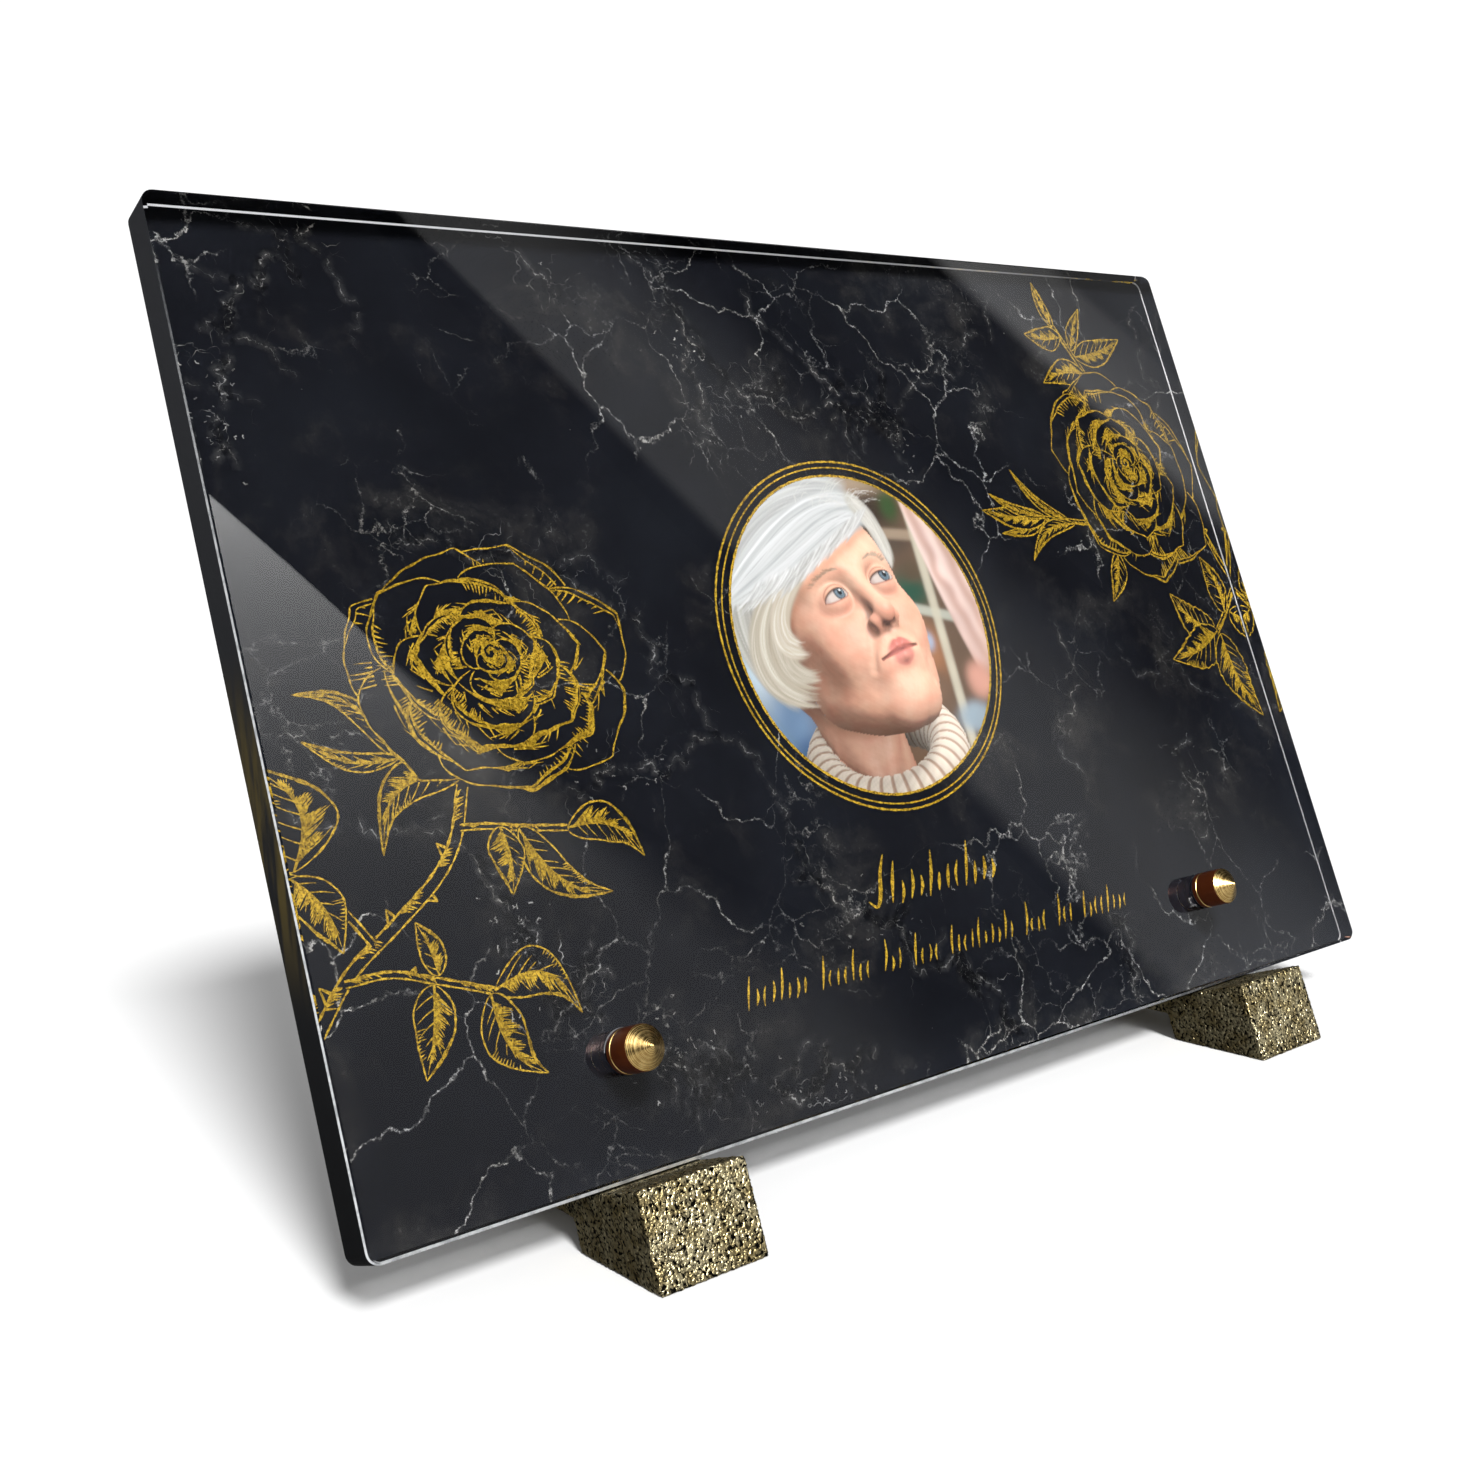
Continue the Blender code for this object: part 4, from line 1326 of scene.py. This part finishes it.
def bezier(points, count):
    """A smooth curve that the given points pull on, from the first to the last."""
    t = np.linspace(0, 1, count)[:, None]
    rows = [np.ones((count, 1)) * np.array(point, float) for point in points]
    while len(rows) > 1:
        rows = [one * (1 - t) + two * t for one, two in zip(rows, rows[1:])]
    return rows[0]


FRINGE_EDGE = ((9.5, 27.5), (1, 27), (-7, 17.5), (-19, 13), (-38, 9))
# Locks of hair, each between two guide lines: root to tip, strands, width, tone from and to
LOCKS = (
    # back of the head, behind all
    (((-4, 39), (-30, 42), (-46, 18), (-42, -10), (-26, -17)),
     ((-8, 30), (-22, 24), (-34, 8), (-32, -8), (-23, -15)),
     420, 0.34, (146, 146, 140), (212, 211, 204)),
    # side, down over the ear and in to the jaw
    (((-16, 17), (-32, 12), (-42, -2), (-36, -16), (-20, -17)),
     ((-13, 17), (-24, 9), (-30, -4), (-23, -9), (-16.5, -8)),
     460, 0.30, (156, 146, 126), (226, 221, 208)),
    # the lock before the ear
    (((-14, 17), (-24, 12), (-33, 2), (-27, -6), (-18, -4.5)),
     ((-12, 18), (-20, 13), (-27, 5), (-25, -1), (-21, -1)),
     220, 0.26, (180, 168, 146), (240, 236, 226)),
    # crown to the left
    (((5, 37), (-14, 44), (-34, 34), (-44, 20), (-42, 0)),
     ((2, 31), (-12, 30), (-26, 22), (-36, 14), (-40, 4)),
     500, 0.32, (168, 170, 168), (234, 237, 237)),
    # fringe, from the parting across the temple
    (((7, 32.5), (-8, 39), (-22, 28), (-32, 20), (-41, 10)),
     FRINGE_EDGE,
     680, 0.30, (176, 180, 180), (246, 249, 250)),
    # the far side of the parting, down the temple
    (((5, 34), (10.5, 31.5), (14.0, 25), (14.2, 15)),
     ((7, 30.5), (10.0, 28.5), (12.4, 23), (14.0, 15)),
     130, 0.26, (184, 182, 172), (240, 238, 232)),
)
# Points along each strand
STEPS = 190


def tinted(dark, bright, tone):
    """A screen colour between two, turned into light."""
    return np.array(from_srgb(*dark)) * (1 - tone) + np.array(from_srgb(*bright)) * tone


def comb(canvas, lock, rng):
    """Paints one lock: broad strokes for its body, then its strands, in bands of light and shade."""
    first, last, count, width, dark, bright = lock
    broad = 26
    for k in range(count + broad):
        under = k < broad
        share = k / (broad - 1) if under else rng.random()
        stray = 0.0 if under else rng.gauss(0, 0.30)
        clump = (math.floor(share * 11) + 0.5) / 11
        pull = np.linspace(0, 0.75, len(first)) ** 1.5
        shares = share * (1 - pull) + clump * pull
        guides = zip(np.array(first), np.array(last), shares)
        points = [one * (1 - part) + other * part + stray for one, other, part in guides]
        line = bezier(points, STEPS)
        swing = 0.45 * np.sin(np.linspace(0, 6, STEPS) + clump * 40)
        swing += 0.12 * np.sin(np.linspace(0, 23, STEPS) + share * 90)
        line = line + np.stack([swing * 0.5, swing], 1)
        band = 0.30 * math.sin(share * 23 + 2.0 * math.sin(share * 7)) + 0.20 * math.sin(share * 61)
        tone = min(1.0, max(0.0, 0.47 + 0.70 * band + rng.gauss(0, 0.18)))
        if under:
            tone *= 0.6
            line = line[: int(STEPS * (0.80 + 0.12 * math.sin(share * 17)))]
        else:
            line = line[int(STEPS * rng.uniform(0, 0.25)): int(STEPS * rng.uniform(0.72, 1.0))]
        colour = tinted(dark, bright, tone)
        if under:
            canvas.hair(line, 1.5, colour, 0.95)
        else:
            canvas.hair(line, width * rng.uniform(0.7, 1.2), colour, rng.uniform(0.4, 0.85))


def look_in(X, Y):
    """Where looks straight into the picture end, and which of them meet the sitter."""
    q = np.stack([X, Y, np.full(len(X), 45.0)], -1)
    live, hit = np.ones(len(q), bool), np.zeros(len(q), bool)
    for _ in range(110):
        idx = np.nonzero(live)[0]
        gap = everything(q[idx])
        q[idx, 2] -= np.maximum(gap * 0.85, 0)
        hit[idx[gap < 0.02]] = True
        live[idx[(gap < 0.02) | (q[idx, 2] < -40)]] = False
    return q, hit


def brows(canvas, strands):
    for side in (-1, 1):
        for _ in range(70):
            t = strands.uniform(0, 1)
            root = np.array([side * (3.4 + 6.2 * t), 3.9 + 1.5 * t - 1.9 * t * t, 16.8 - 3.6 * t * t])
            tip = root + np.array([side * strands.uniform(0.8, 1.6), strands.uniform(0.1, 0.7), -0.25])
            line = on_picture([root * (1 - u) + tip * u for u in np.linspace(0, 1, 8)])[:, :2]
            tone = strands.uniform(0, 1)
            canvas.hair(line, 0.24, tinted((150, 122, 100), (206, 186, 166), tone), 0.5)


def fringe_shadow(canvas):
    """The soft shadow that the hair throws on the skin."""
    X, Y = canvas.X, canvas.Y
    shadow = canvas.light.copy()
    for x, y in bezier(((10, 26), (1, 24), (-7, 15), (-18, 11), (-26, 8), (-24, -6)), 60):
        near = np.exp(-(((X - x) ** 2 + (Y - y) ** 2) / 3.2))
        canvas.light = np.minimum(canvas.light, over(shadow, shadow * (0.62, 0.52, 0.46), near * 0.75))


def loose_strands(canvas, strands):
    """Strands that fall out of the fringe, and a few that stand off the crown."""
    edge = bezier(FRINGE_EDGE, 100)
    for _ in range(210):
        at = edge[strands.randrange(6, 92)]
        drop = strands.uniform(0.2, 1.0) ** 2 * 2.6
        back = strands.uniform(2.5, 7.0)
        ways = (back * 0.6, back * 0.55 + 0.8), (0.0, 0.4 - drop * 0.4), (-back, -back * 0.45 - drop)
        loose = bezier([at + way for way in ways], 60)
        colour = tinted((170, 170, 166), (244, 246, 246), strands.uniform(0, 1))
        canvas.hair(loose, strands.uniform(0.18, 0.34), colour, strands.uniform(0.5, 0.9))
    for _ in range(46):
        root = np.array([strands.uniform(-12, 9), strands.uniform(31, 35)])
        way = np.array([strands.uniform(0.0, 8.0), strands.uniform(-1.0, 4.5)])
        stray = bezier((root, root + way * 0.6 + (0, 1.5), root + way), 30)
        canvas.hair(stray, 0.15, from_srgb(222, 222, 218), 0.65)


def paint_portrait(cells):
    """The whole picture: the room, then the head and collar in their light, then the hair."""
    rng = np.random.default_rng(8)
    canvas = Canvas(cells)
    canvas.light[...] = backdrop(canvas.X, canvas.Y, rng)
    inside = np.hypot(canvas.X, canvas.Y) < PICTURE_RADIUS + 0.5
    q, hit = look_in(canvas.X[inside], canvas.Y[inside])
    knit = hit & (collar(q)[0] < sitter(q))
    bare = hit & ~knit
    painted = canvas.light[inside]
    painted[bare] = eye_paint(q[bare], skin_paint(q[bare], rng))
    painted[knit] = knit_paint(q[knit])
    canvas.light[inside] = painted
    strands = random.Random(9)
    brows(canvas, strands)
    fringe_shadow(canvas)
    for lock in LOCKS:
        comb(canvas, lock, strands)
    loose_strands(canvas, strands)
    return canvas


# How many cells the picture has from side to side
PICTURE_CELLS = 300


def medallion_picture(material):
    """The portrait's disc: a fine grid whose points hold the painted light, closed behind."""
    canvas = paint_portrait(PICTURE_CELLS)
    deselect_all()
    count = PICTURE_CELLS - 1
    bpy.ops.mesh.primitive_grid_add(x_subdivisions=count, y_subdivisions=count, size=1.0)
    disc = bpy.context.object
    mesh = disc.data
    places = np.stack([canvas.X, canvas.Y, np.zeros_like(canvas.X)], -1) * MM
    mesh.vertices.foreach_set("co", places.astype(np.float32).reshape(-1))
    colours = mesh.color_attributes.new("paint", "FLOAT_COLOR", "POINT")
    opaque = np.ones((*canvas.X.shape, 1))
    light = np.clip(np.concatenate([canvas.light * PRINT_LIGHT, opaque], -1), 0, 1)
    colours.data.foreach_set("color", light.astype(np.float32).reshape(-1))
    beyond = (np.hypot(canvas.X, canvas.Y) > PICTURE_RADIUS + 0.1).reshape(-1)
    made = bmesh.new()
    made.from_mesh(mesh)
    made.verts.ensure_lookup_table()
    bmesh.ops.delete(made, geom=[made.verts[i] for i in np.nonzero(beyond)[0]], context="VERTS")
    rim = bmesh.ops.extrude_edge_only(made, edges=[edge for edge in made.edges if edge.is_boundary])
    below = [part for part in rim["geom"] if isinstance(part, bmesh.types.BMVert)]
    bmesh.ops.translate(made, verts=below, vec=(0.0, 0.0, -FILM))
    bmesh.ops.contextual_create(made, geom=[edge for edge in made.edges if edge.is_boundary])
    made.to_mesh(mesh)
    made.free()
    at = Matrix.Translation((MEDALLION[0] * MM, MEDALLION[1] * MM, 0.0))
    return settle(disc, "medallion_picture", film_at(2) @ at, material)


# How far apart a foot's pebbles are, how high they stand, and how fine its mesh is
PEBBLE = 0.00092
PEBBLE_DEPTH = 0.00024
VOXEL = 0.00031
# Unseeded, this noise starts from the clock
noise.seed_set(5)


def merged_copy(node):
    """A copy of a frame's node, its doubled corners merged."""
    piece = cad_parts[node].copy()
    piece.data = piece.data.copy()
    piece.parent = None
    bpy.context.scene.collection.objects.link(piece)
    edit_whole(piece)
    bpy.ops.mesh.remove_doubles(threshold=0.00001)
    bpy.ops.mesh.select_all(action="DESELECT")
    bpy.ops.object.mode_set(mode="OBJECT")
    return piece


def hammered_foot(node, material):
    """A cast foot: the frame's own form, remeshed fine, with its faces beaten into pebbles."""
    foot = merged_copy(node)
    fine = foot.modifiers.new("fine", "REMESH")
    fine.mode = "VOXEL"
    fine.voxel_size = VOXEL
    fine.use_smooth_shade = True
    apply_all_modifiers(foot)
    mesh = foot.data
    count = len(mesh.vertices)
    places = np.empty(count * 3)
    normals = np.empty(count * 3)
    mesh.vertices.foreach_get("co", places)
    mesh.vertex_normals.foreach_get("vector", normals)
    places, normals = places.reshape(-1, 3), normals.reshape(-1, 3)
    hollow = np.array([pebble_hollow(place) for place in places])
    places = places - normals * (hollow * PEBBLE_DEPTH)[:, None]
    places[:, 2] = np.maximum(places[:, 2], 0.0)
    mesh.vertices.foreach_set("co", places.ravel())
    stored = mesh.attributes.new("hollow", "FLOAT", "POINT")
    stored.data.foreach_set("value", hollow)
    mesh.update()
    return settle(foot, "hammered_" + node, Matrix.Identity(4), material)


def pebble_hollow(place):
    """How deep the surface lies at a place: 0 on a pebble's crown, 1 in a pit between pebbles."""
    where = Vector(place) / PEBBLE
    where += noise.noise_vector(where * 0.8) * 0.45
    distances = noise.voronoi(where)[0]
    seam = 1.0 - min(1.0, (distances[1] - distances[0]) * 1.5)
    pit = 0.5 + 0.5 * noise.noise(where * 0.9)
    return max(0.0, min(1.0, seam**1.6 * (0.45 + 0.9 * pit)))


def lathe(name, profile, x, material, smooth, sides=96):
    """A turned piece on the plate, drawn out ring by ring through the profile's (radius, height)."""
    deselect_all()
    radius, height = profile[0]
    bpy.ops.mesh.primitive_circle_add(vertices=sides, radius=radius, location=(0, 0, height))
    piece = bpy.context.object
    edit_whole(piece)
    for (r0, h0), (r1, h1) in zip(profile, profile[1:]):
        bpy.ops.mesh.extrude_edges_move(TRANSFORM_OT_translate={"value": (0.0, 0.0, h1 - h0)})
        if r1 > 0:
            bpy.ops.transform.resize(value=(r1 / r0, r1 / r0, 1.0), center_override=(0.0, 0.0, h1))
        else:
            bpy.ops.mesh.merge(type="CENTER")
    bpy.ops.mesh.select_all(action="SELECT")
    bpy.ops.mesh.normals_make_consistent(inside=False)
    bpy.ops.object.mode_set(mode="OBJECT")
    return settle(piece, name, ON_PLATE @ Matrix.Translation((x, NUT_S, 0.0)), material, smooth)


# From the blind bore's end out over the barrel, with its groove, to the cone's point
NUT_PROFILE = (
    (0.0001, 0.0051), (0.0028, 0.0051), (0.0028, 0.0003), (0.0041, 0.0003), (0.0045, 0.0006),
    (0.0045, 0.0017), (0.00435, 0.0018), (0.00435, 0.0020), (0.0045, 0.0021), (0.0045, 0.0070),
    (0.00445, 0.0072), (0.0044, 0.0073), (0.0030, 0.00832), (0.0015, 0.00943), (0.00015, 0.01042),
    (0.0, 0.0105),
)
CONE_FROM = 0.00728
GROOVE = (0.00171, 0.00209)


def cap_nut(side, x, brass, shaded_brass):
    """A cap nut: a barrel of brass painted dark as painted shade, with a ring and a cone of bright
    brass.
    """
    shell = lathe(side + "_nut_barrel", NUT_PROFILE, x, shaded_brass, 20)
    shell.data.materials.append(brass)
    for face in shell.data.polygons:
        height = (OFF_PLATE @ face.center).z
        if height > CONE_FROM or GROOVE[0] < height < GROOVE[1]:
            face.material_index = 1
    return shell


def hole_sleeve(side, x, dark, pale):
    """The wall of a stud's hole as seen through the clear plate: a dark tube as painted shade, with a
    painted highlight as a pale rim at each end.
    """
    back, front = -PLATE_THICKNESS + 0.0002, -0.0001
    inner, outer = 0.0036, 0.0039
    profile = ((inner, back), (outer, back), (outer, back + 0.0002), (outer, front - 0.0001),
               (outer, front), (inner, front), (inner, back + 0.0001))
    sleeve = lathe(side + "_hole_sleeve", profile, x, dark, 30)
    sleeve.data.materials.append(pale)
    for face in sleeve.data.polygons:
        height = (OFF_PLATE @ face.center).z
        if height < back + 0.0001 or height > front - 0.0001:
            face.material_index = 1
    return sleeve


def skin_over(node, name, wanted, material):
    """A thin film just off some of a node's faces, from a merged copy that is cut down to them."""
    film = merged_copy(node)
    bpy.ops.object.mode_set(mode="EDIT")
    bpy.ops.mesh.select_mode(type="FACE")
    bpy.ops.object.mode_set(mode="OBJECT")
    for face in film.data.polygons:
        face.select = not wanted(face.normal, face.center)
    bpy.ops.object.mode_set(mode="EDIT")
    bpy.ops.mesh.delete(type="FACE")
    bpy.ops.mesh.select_all(action="SELECT")
    bpy.ops.transform.shrink_fatten(value=FILM / 2)
    bpy.ops.object.mode_set(mode="OBJECT")
    thick = film.modifiers.new("thick", "SOLIDIFY")
    thick.thickness = FILM
    thick.offset = 1.0
    apply_all_modifiers(film)
    return settle(film, name, Matrix.Identity(4), material, 30)


# How near the plate's edge a face is that belongs to its rim
RIM = 0.004


def on_a_side(normal, centre):
    """The plate's four outer sides, but not the walls of its holes."""
    s = (OFF_PLATE @ centre).y
    outside = abs(centre.x) > PLATE_WIDTH / 2 - RIM or not RIM < s < PLATE_HEIGHT - RIM
    return abs(normal.dot(OUT_OF_FACE)) < 0.1 and outside


def on_rear_chamfer(normal, centre):
    """The chamfer round the back, along the top and the right, which shows through the clear plate."""
    outside = abs(centre.x) > PLATE_WIDTH / 2 - RIM or (OFF_PLATE @ centre).y > PLATE_HEIGHT - RIM
    right_or_up = normal.x > 0.1 or normal.dot(UP_FACE) > 0.1
    return -0.95 < normal.dot(OUT_OF_FACE) < -0.4 and outside and right_or_up


def on_front_chamfer(normal, centre):
    """The chamfer round the front face, where it looks left or down."""
    return 0.4 < normal.dot(OUT_OF_FACE) < 0.95 and (normal.x < -0.1 or normal.dot(UP_FACE) < -0.1)


def stage_floor():
    """A pale floor, which gloss sees dimmer than it is."""
    deselect_all()
    bpy.ops.mesh.primitive_plane_add(size=6.0, location=(0.0, 0.0, 0.0))
    floor = bpy.context.object
    floor.name = "floor"
    finish = Finish("pale_floor", {"Base Color": (0.93, 0.93, 0.93), **matte(0.9)})
    depth = finish.along("Y")
    glow = 1.00 - 0.40 * finish.step(depth, -0.45, -0.08) - 0.55 * finish.step(depth, -0.062, -0.036)
    dim = finish.node("Emission", {}, {"Color": (1.0, 1.0, 1.0), "Strength": glow})
    in_gloss = finish.node("LightPath", {}, {}, "Is Glossy Ray")
    sockets = {"Fac": in_gloss, "Shader": Link(finish.shader.outputs[0]), "Shader_001": dim}
    plug(finish.node("MixShader", {}, sockets), finish.tree.nodes["Material Output"].inputs["Surface"])
    floor.data.materials.append(finish.material)


CARD_STEPS = 48


def gloss_card(name, grid, glow):
    """A sheet of light that only gloss sees, from a square grid of places and how bright each is."""
    deselect_all()
    bpy.ops.mesh.primitive_grid_add(x_subdivisions=CARD_STEPS, y_subdivisions=CARD_STEPS, size=1.0)
    card = bpy.context.object
    card.name = name
    card.data.vertices.foreach_set("co", np.asarray(grid, np.float32).reshape(-1))
    stored = card.data.attributes.new("glow", "FLOAT", "POINT")
    stored.data.foreach_set("value", np.asarray(glow, np.float32).reshape(-1))
    card.data.update()
    finish = Finish(name, {})
    sockets = {"Color": (1.0, 1.0, 1.0), "Strength": finish.attribute("glow")}
    light = finish.node("Emission", {}, sockets)
    plug(light, finish.tree.nodes["Material Output"].inputs["Surface"])
    finish.tree.nodes.remove(finish.shader)
    card.data.materials.append(finish.material)
    card.visible_camera = False
    card.visible_diffuse = False
    card.visible_shadow = False
    card.visible_transmission = False


# How far in front of the plate the cards stand, in millimetres
CARD_DISTANCE = 600.0


def window_card(name, near, far, glow):
    """A card parallel to the plate, between two edges given in plate millimetres."""
    v = np.linspace(0.0, 1.0, CARD_STEPS + 1) ** 1.9

    def spaced(edge):
        edge = smooth_line(edge, 4.0) if len(edge) > 2 else np.asarray(edge, float)
        return along_line(edge, CARD_STEPS + 1)

    near, far = spaced(near), spaced(far)
    t = v[None, :, None]
    flat = near[:, None, :] * (1 - t) + far[:, None, :] * t
    away = np.linalg.norm(far - near, axis=1)[:, None] * v[None, :]
    places = [ON_PLATE @ Vector((x * MM, s * MM, CARD_DISTANCE * MM)) for x, s in flat.reshape(-1, 2)]
    gloss_card(name, places, glow(t[..., 0] * np.ones_like(away), away, flat[..., 0], flat[..., 1]))


def middle_window(t, away, x, s):
    blur = 2 + (615 - s) / 721 * 22
    return 0.58 * (1 - soft_step(t, 0.28, 0.92)) * soft_step(away, 30 - blur, 30 + blur)


def far_window(t, away, x, s):
    pane = 1 - soft_step(x - (935 + (565 - s) * 1.3), -14, 14)
    glow = 0.30 + pane * (0.72 * (1 - soft_step(t, 0.0, 0.5)) + 0.16)
    return glow * soft_step(away, -4, 26 + 0.10 * (615 - s)) * soft_step(s, 205, 400)


def near_window(t, away, x, s):
    sharp = np.clip((x - 170) / 240, 0.02, 1) * 95
    body = 0.27 + 0.17 * np.exp(-(((x - 430) / 140) ** 2) - ((s + 30) / 70) ** 2)
    body = body * (1 - soft_step(x, 450, 580))
    return (6.0 * np.exp((s - 366) / 83) + body) * soft_step(away, 0, sharp)


def board(name, centre, size, glow):
    """A plain square card turned towards the object, for the metals."""
    centre = Vector(centre)
    turned = (-centre).to_track_quat("Z", "Y").to_matrix()
    u = np.linspace(-0.5, 0.5, CARD_STEPS + 1)
    places = [centre + turned @ Vector((x * size[0], y * size[1], 0.0)) for y in u for x in u]
    fade = np.outer(np.cos(u * math.pi), np.cos(u * math.pi)) ** 0.7
    gloss_card(name, places, glow * fade)


def stage_cards():
    window_card("middle_window", ((202, 615), (810, -106)), ((471, 615), (1290, -106)), middle_window)
    window_card("far_window", ((718, 615), (1127, 230)), ((1250, 615), (1300, 230)), far_window)
    edge = ((20, 468), (98, 378), (145, 324), (197, 263), (254, 212), (315, 161), (381, 110),
            (514, 22), (640, -60))
    window_card("near_window", edge, ((-400, 300), (200, -500)), near_window)
    board("high_board", (-0.35, -0.75, 1.1), (0.5, 0.5), 4.0)
    board("top_board", (0.7, 0.5, 1.2), (1.2, 1.2), 0.45)


def lamps():
    """A broad sun from the front, a little left, which throws the plate's shadow back and right."""
    data = bpy.data.lights.new("key", "SUN")
    data.energy = 4.2
    data.angle = math.radians(13)
    key = bpy.data.objects.new("key", data)
    key.rotation_euler = Vector((0.072, 0.238, -0.204)).to_track_quat("-Z", "Y").to_euler()
    bpy.context.scene.collection.objects.link(key)


def pale_world():
    """White all round to the eye, dimmer as a light, and dark in gloss, which sees the cards."""
    world = bpy.data.worlds.new("studio")
    bpy.context.scene.world = world
    world.use_nodes = True
    tree = world.node_tree
    seen = tree.nodes["Background"]
    seen.inputs["Color"].default_value = (1.0, 1.0, 1.0, 1.0)
    seen.inputs["Strength"].default_value = 1.1
    path = tree.nodes.new("ShaderNodeLightPath")
    surface = seen.outputs[0]
    for ray, strength in (("Is Diffuse Ray", 0.36), ("Is Glossy Ray", 0.02)):
        other = tree.nodes.new("ShaderNodeBackground")
        other.inputs["Color"].default_value = (1.0, 1.0, 1.0, 1.0)
        other.inputs["Strength"].default_value = strength
        mix = tree.nodes.new("ShaderNodeMixShader")
        tree.links.new(path.outputs[ray], mix.inputs[0])
        tree.links.new(surface, mix.inputs[1])
        tree.links.new(other.outputs[0], mix.inputs[2])
        surface = mix.outputs[0]
    tree.links.new(surface, tree.nodes["World Output"].inputs["Surface"])


def camera():
    """The photograph's view: from the left and a little above, with the camera rolled slightly."""
    data = bpy.data.cameras.new("camera")
    made = bpy.data.objects.new("camera", data)
    bpy.context.scene.collection.objects.link(made)
    image = 1462
    focal_pixels = 1633.3
    data.sensor_width = 36.0
    data.lens = focal_pixels / image * data.sensor_width
    data.shift_x = 47.9 / image
    data.shift_y = -9.9 / image
    data.clip_start = 0.01
    yaw, pitch, roll = math.radians(36.80), math.radians(5.97), math.radians(-3.18)
    ahead = Vector((math.sin(yaw) * math.cos(pitch), math.cos(yaw) * math.cos(pitch), -math.sin(pitch)))
    right = Vector((math.cos(yaw), -math.sin(yaw), 0.0))
    above = right.cross(ahead)
    right, above = (math.cos(roll) * right + math.sin(roll) * above,
                    -math.sin(roll) * right + math.cos(roll) * above)
    place = face_origin + Vector((-0.26146, -0.24496, 0.11681))
    axes = Matrix((right, above, -ahead)).transposed()
    made.matrix_world = Matrix.Translation(place) @ axes.to_4x4()
    bpy.context.scene.camera = made


def main():
    camera()
    marble, gold = black_marble(), gold_ink()
    brass, shaded_brass, bronze = turned_brass(), brass_painted_dark(), hammered_bronze()
    # Painted shade for the holes' walls, and a painted highlight for their rims
    sleeve, rim = plain("hole_wall_painted_shade", (30, 32, 38), 0.6, 0.2), plain("hole_rim_painted_highlight", (88, 90, 96), 0.4)
    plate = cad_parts["plate"]
    plate.data.materials.clear()
    plate.data.materials.append(clear_acrylic())
    # Films over the plate's sides and chamfers that carry painted shade, a painted reflection, painted
    # highlights and a painted glow
    skin_over("plate", "plate_sides", on_a_side, side_painted_shade())
    skin_over("plate", "front_chamfer_painted_highlight", on_front_chamfer, painted_chamfer_highlight())
    skin_over("plate", "rear_chamfer", on_rear_chamfer, rear_edge_painted_glow())
    marble_print(marble)
    marble_veins(marble)
    left_rose().build("left_rose", 4, gold)
    right_rose().build("right_rose", 4, gold)
    medallion_picture(painted_picture())
    medallion_rings().build("medallion_rings", 4, gold)
    first = inscription_row(3, -9.0, 26.5, 39.0, 10.4, 0.34, (12,), 1.0)
    sweep = smooth_line([(-16.0, 40.4), (-13.8, 38.9), (-12.0, 41.5), (-10.6, 46.0), (-8.4, 50.2)], 0.3)
    first.pen(sweep, 1.1, (0.4, 0.5), 0.08)
    first.build("inscription_first_row", 4, gold)
    second = inscription_row(4, -55.5, 68.5, 24.6, 7.4, 0.32, (8, 7, 3, 4, 10, 4, 3, 8), 0.66)
    second.build("inscription_second_row", 4, gold)

    for side, x in (("left", -NUT_X), ("right", NUT_X)):
        nut = cap_nut(side, x, brass, shaded_brass)
        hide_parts(side + "_cap_nut")
        hole_sleeve(side, x, sleeve, rim)
        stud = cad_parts[side + "_stud"]
        stud.data.materials.clear()
        stud.data.materials.append(brass)
        foot = hammered_foot(side + "_foot", bronze)
        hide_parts(side + "_foot")

    stage_floor()
    stage_cards()
    lamps()
    pale_world()
    bpy.context.scene.view_settings.view_transform = "Standard"


main()
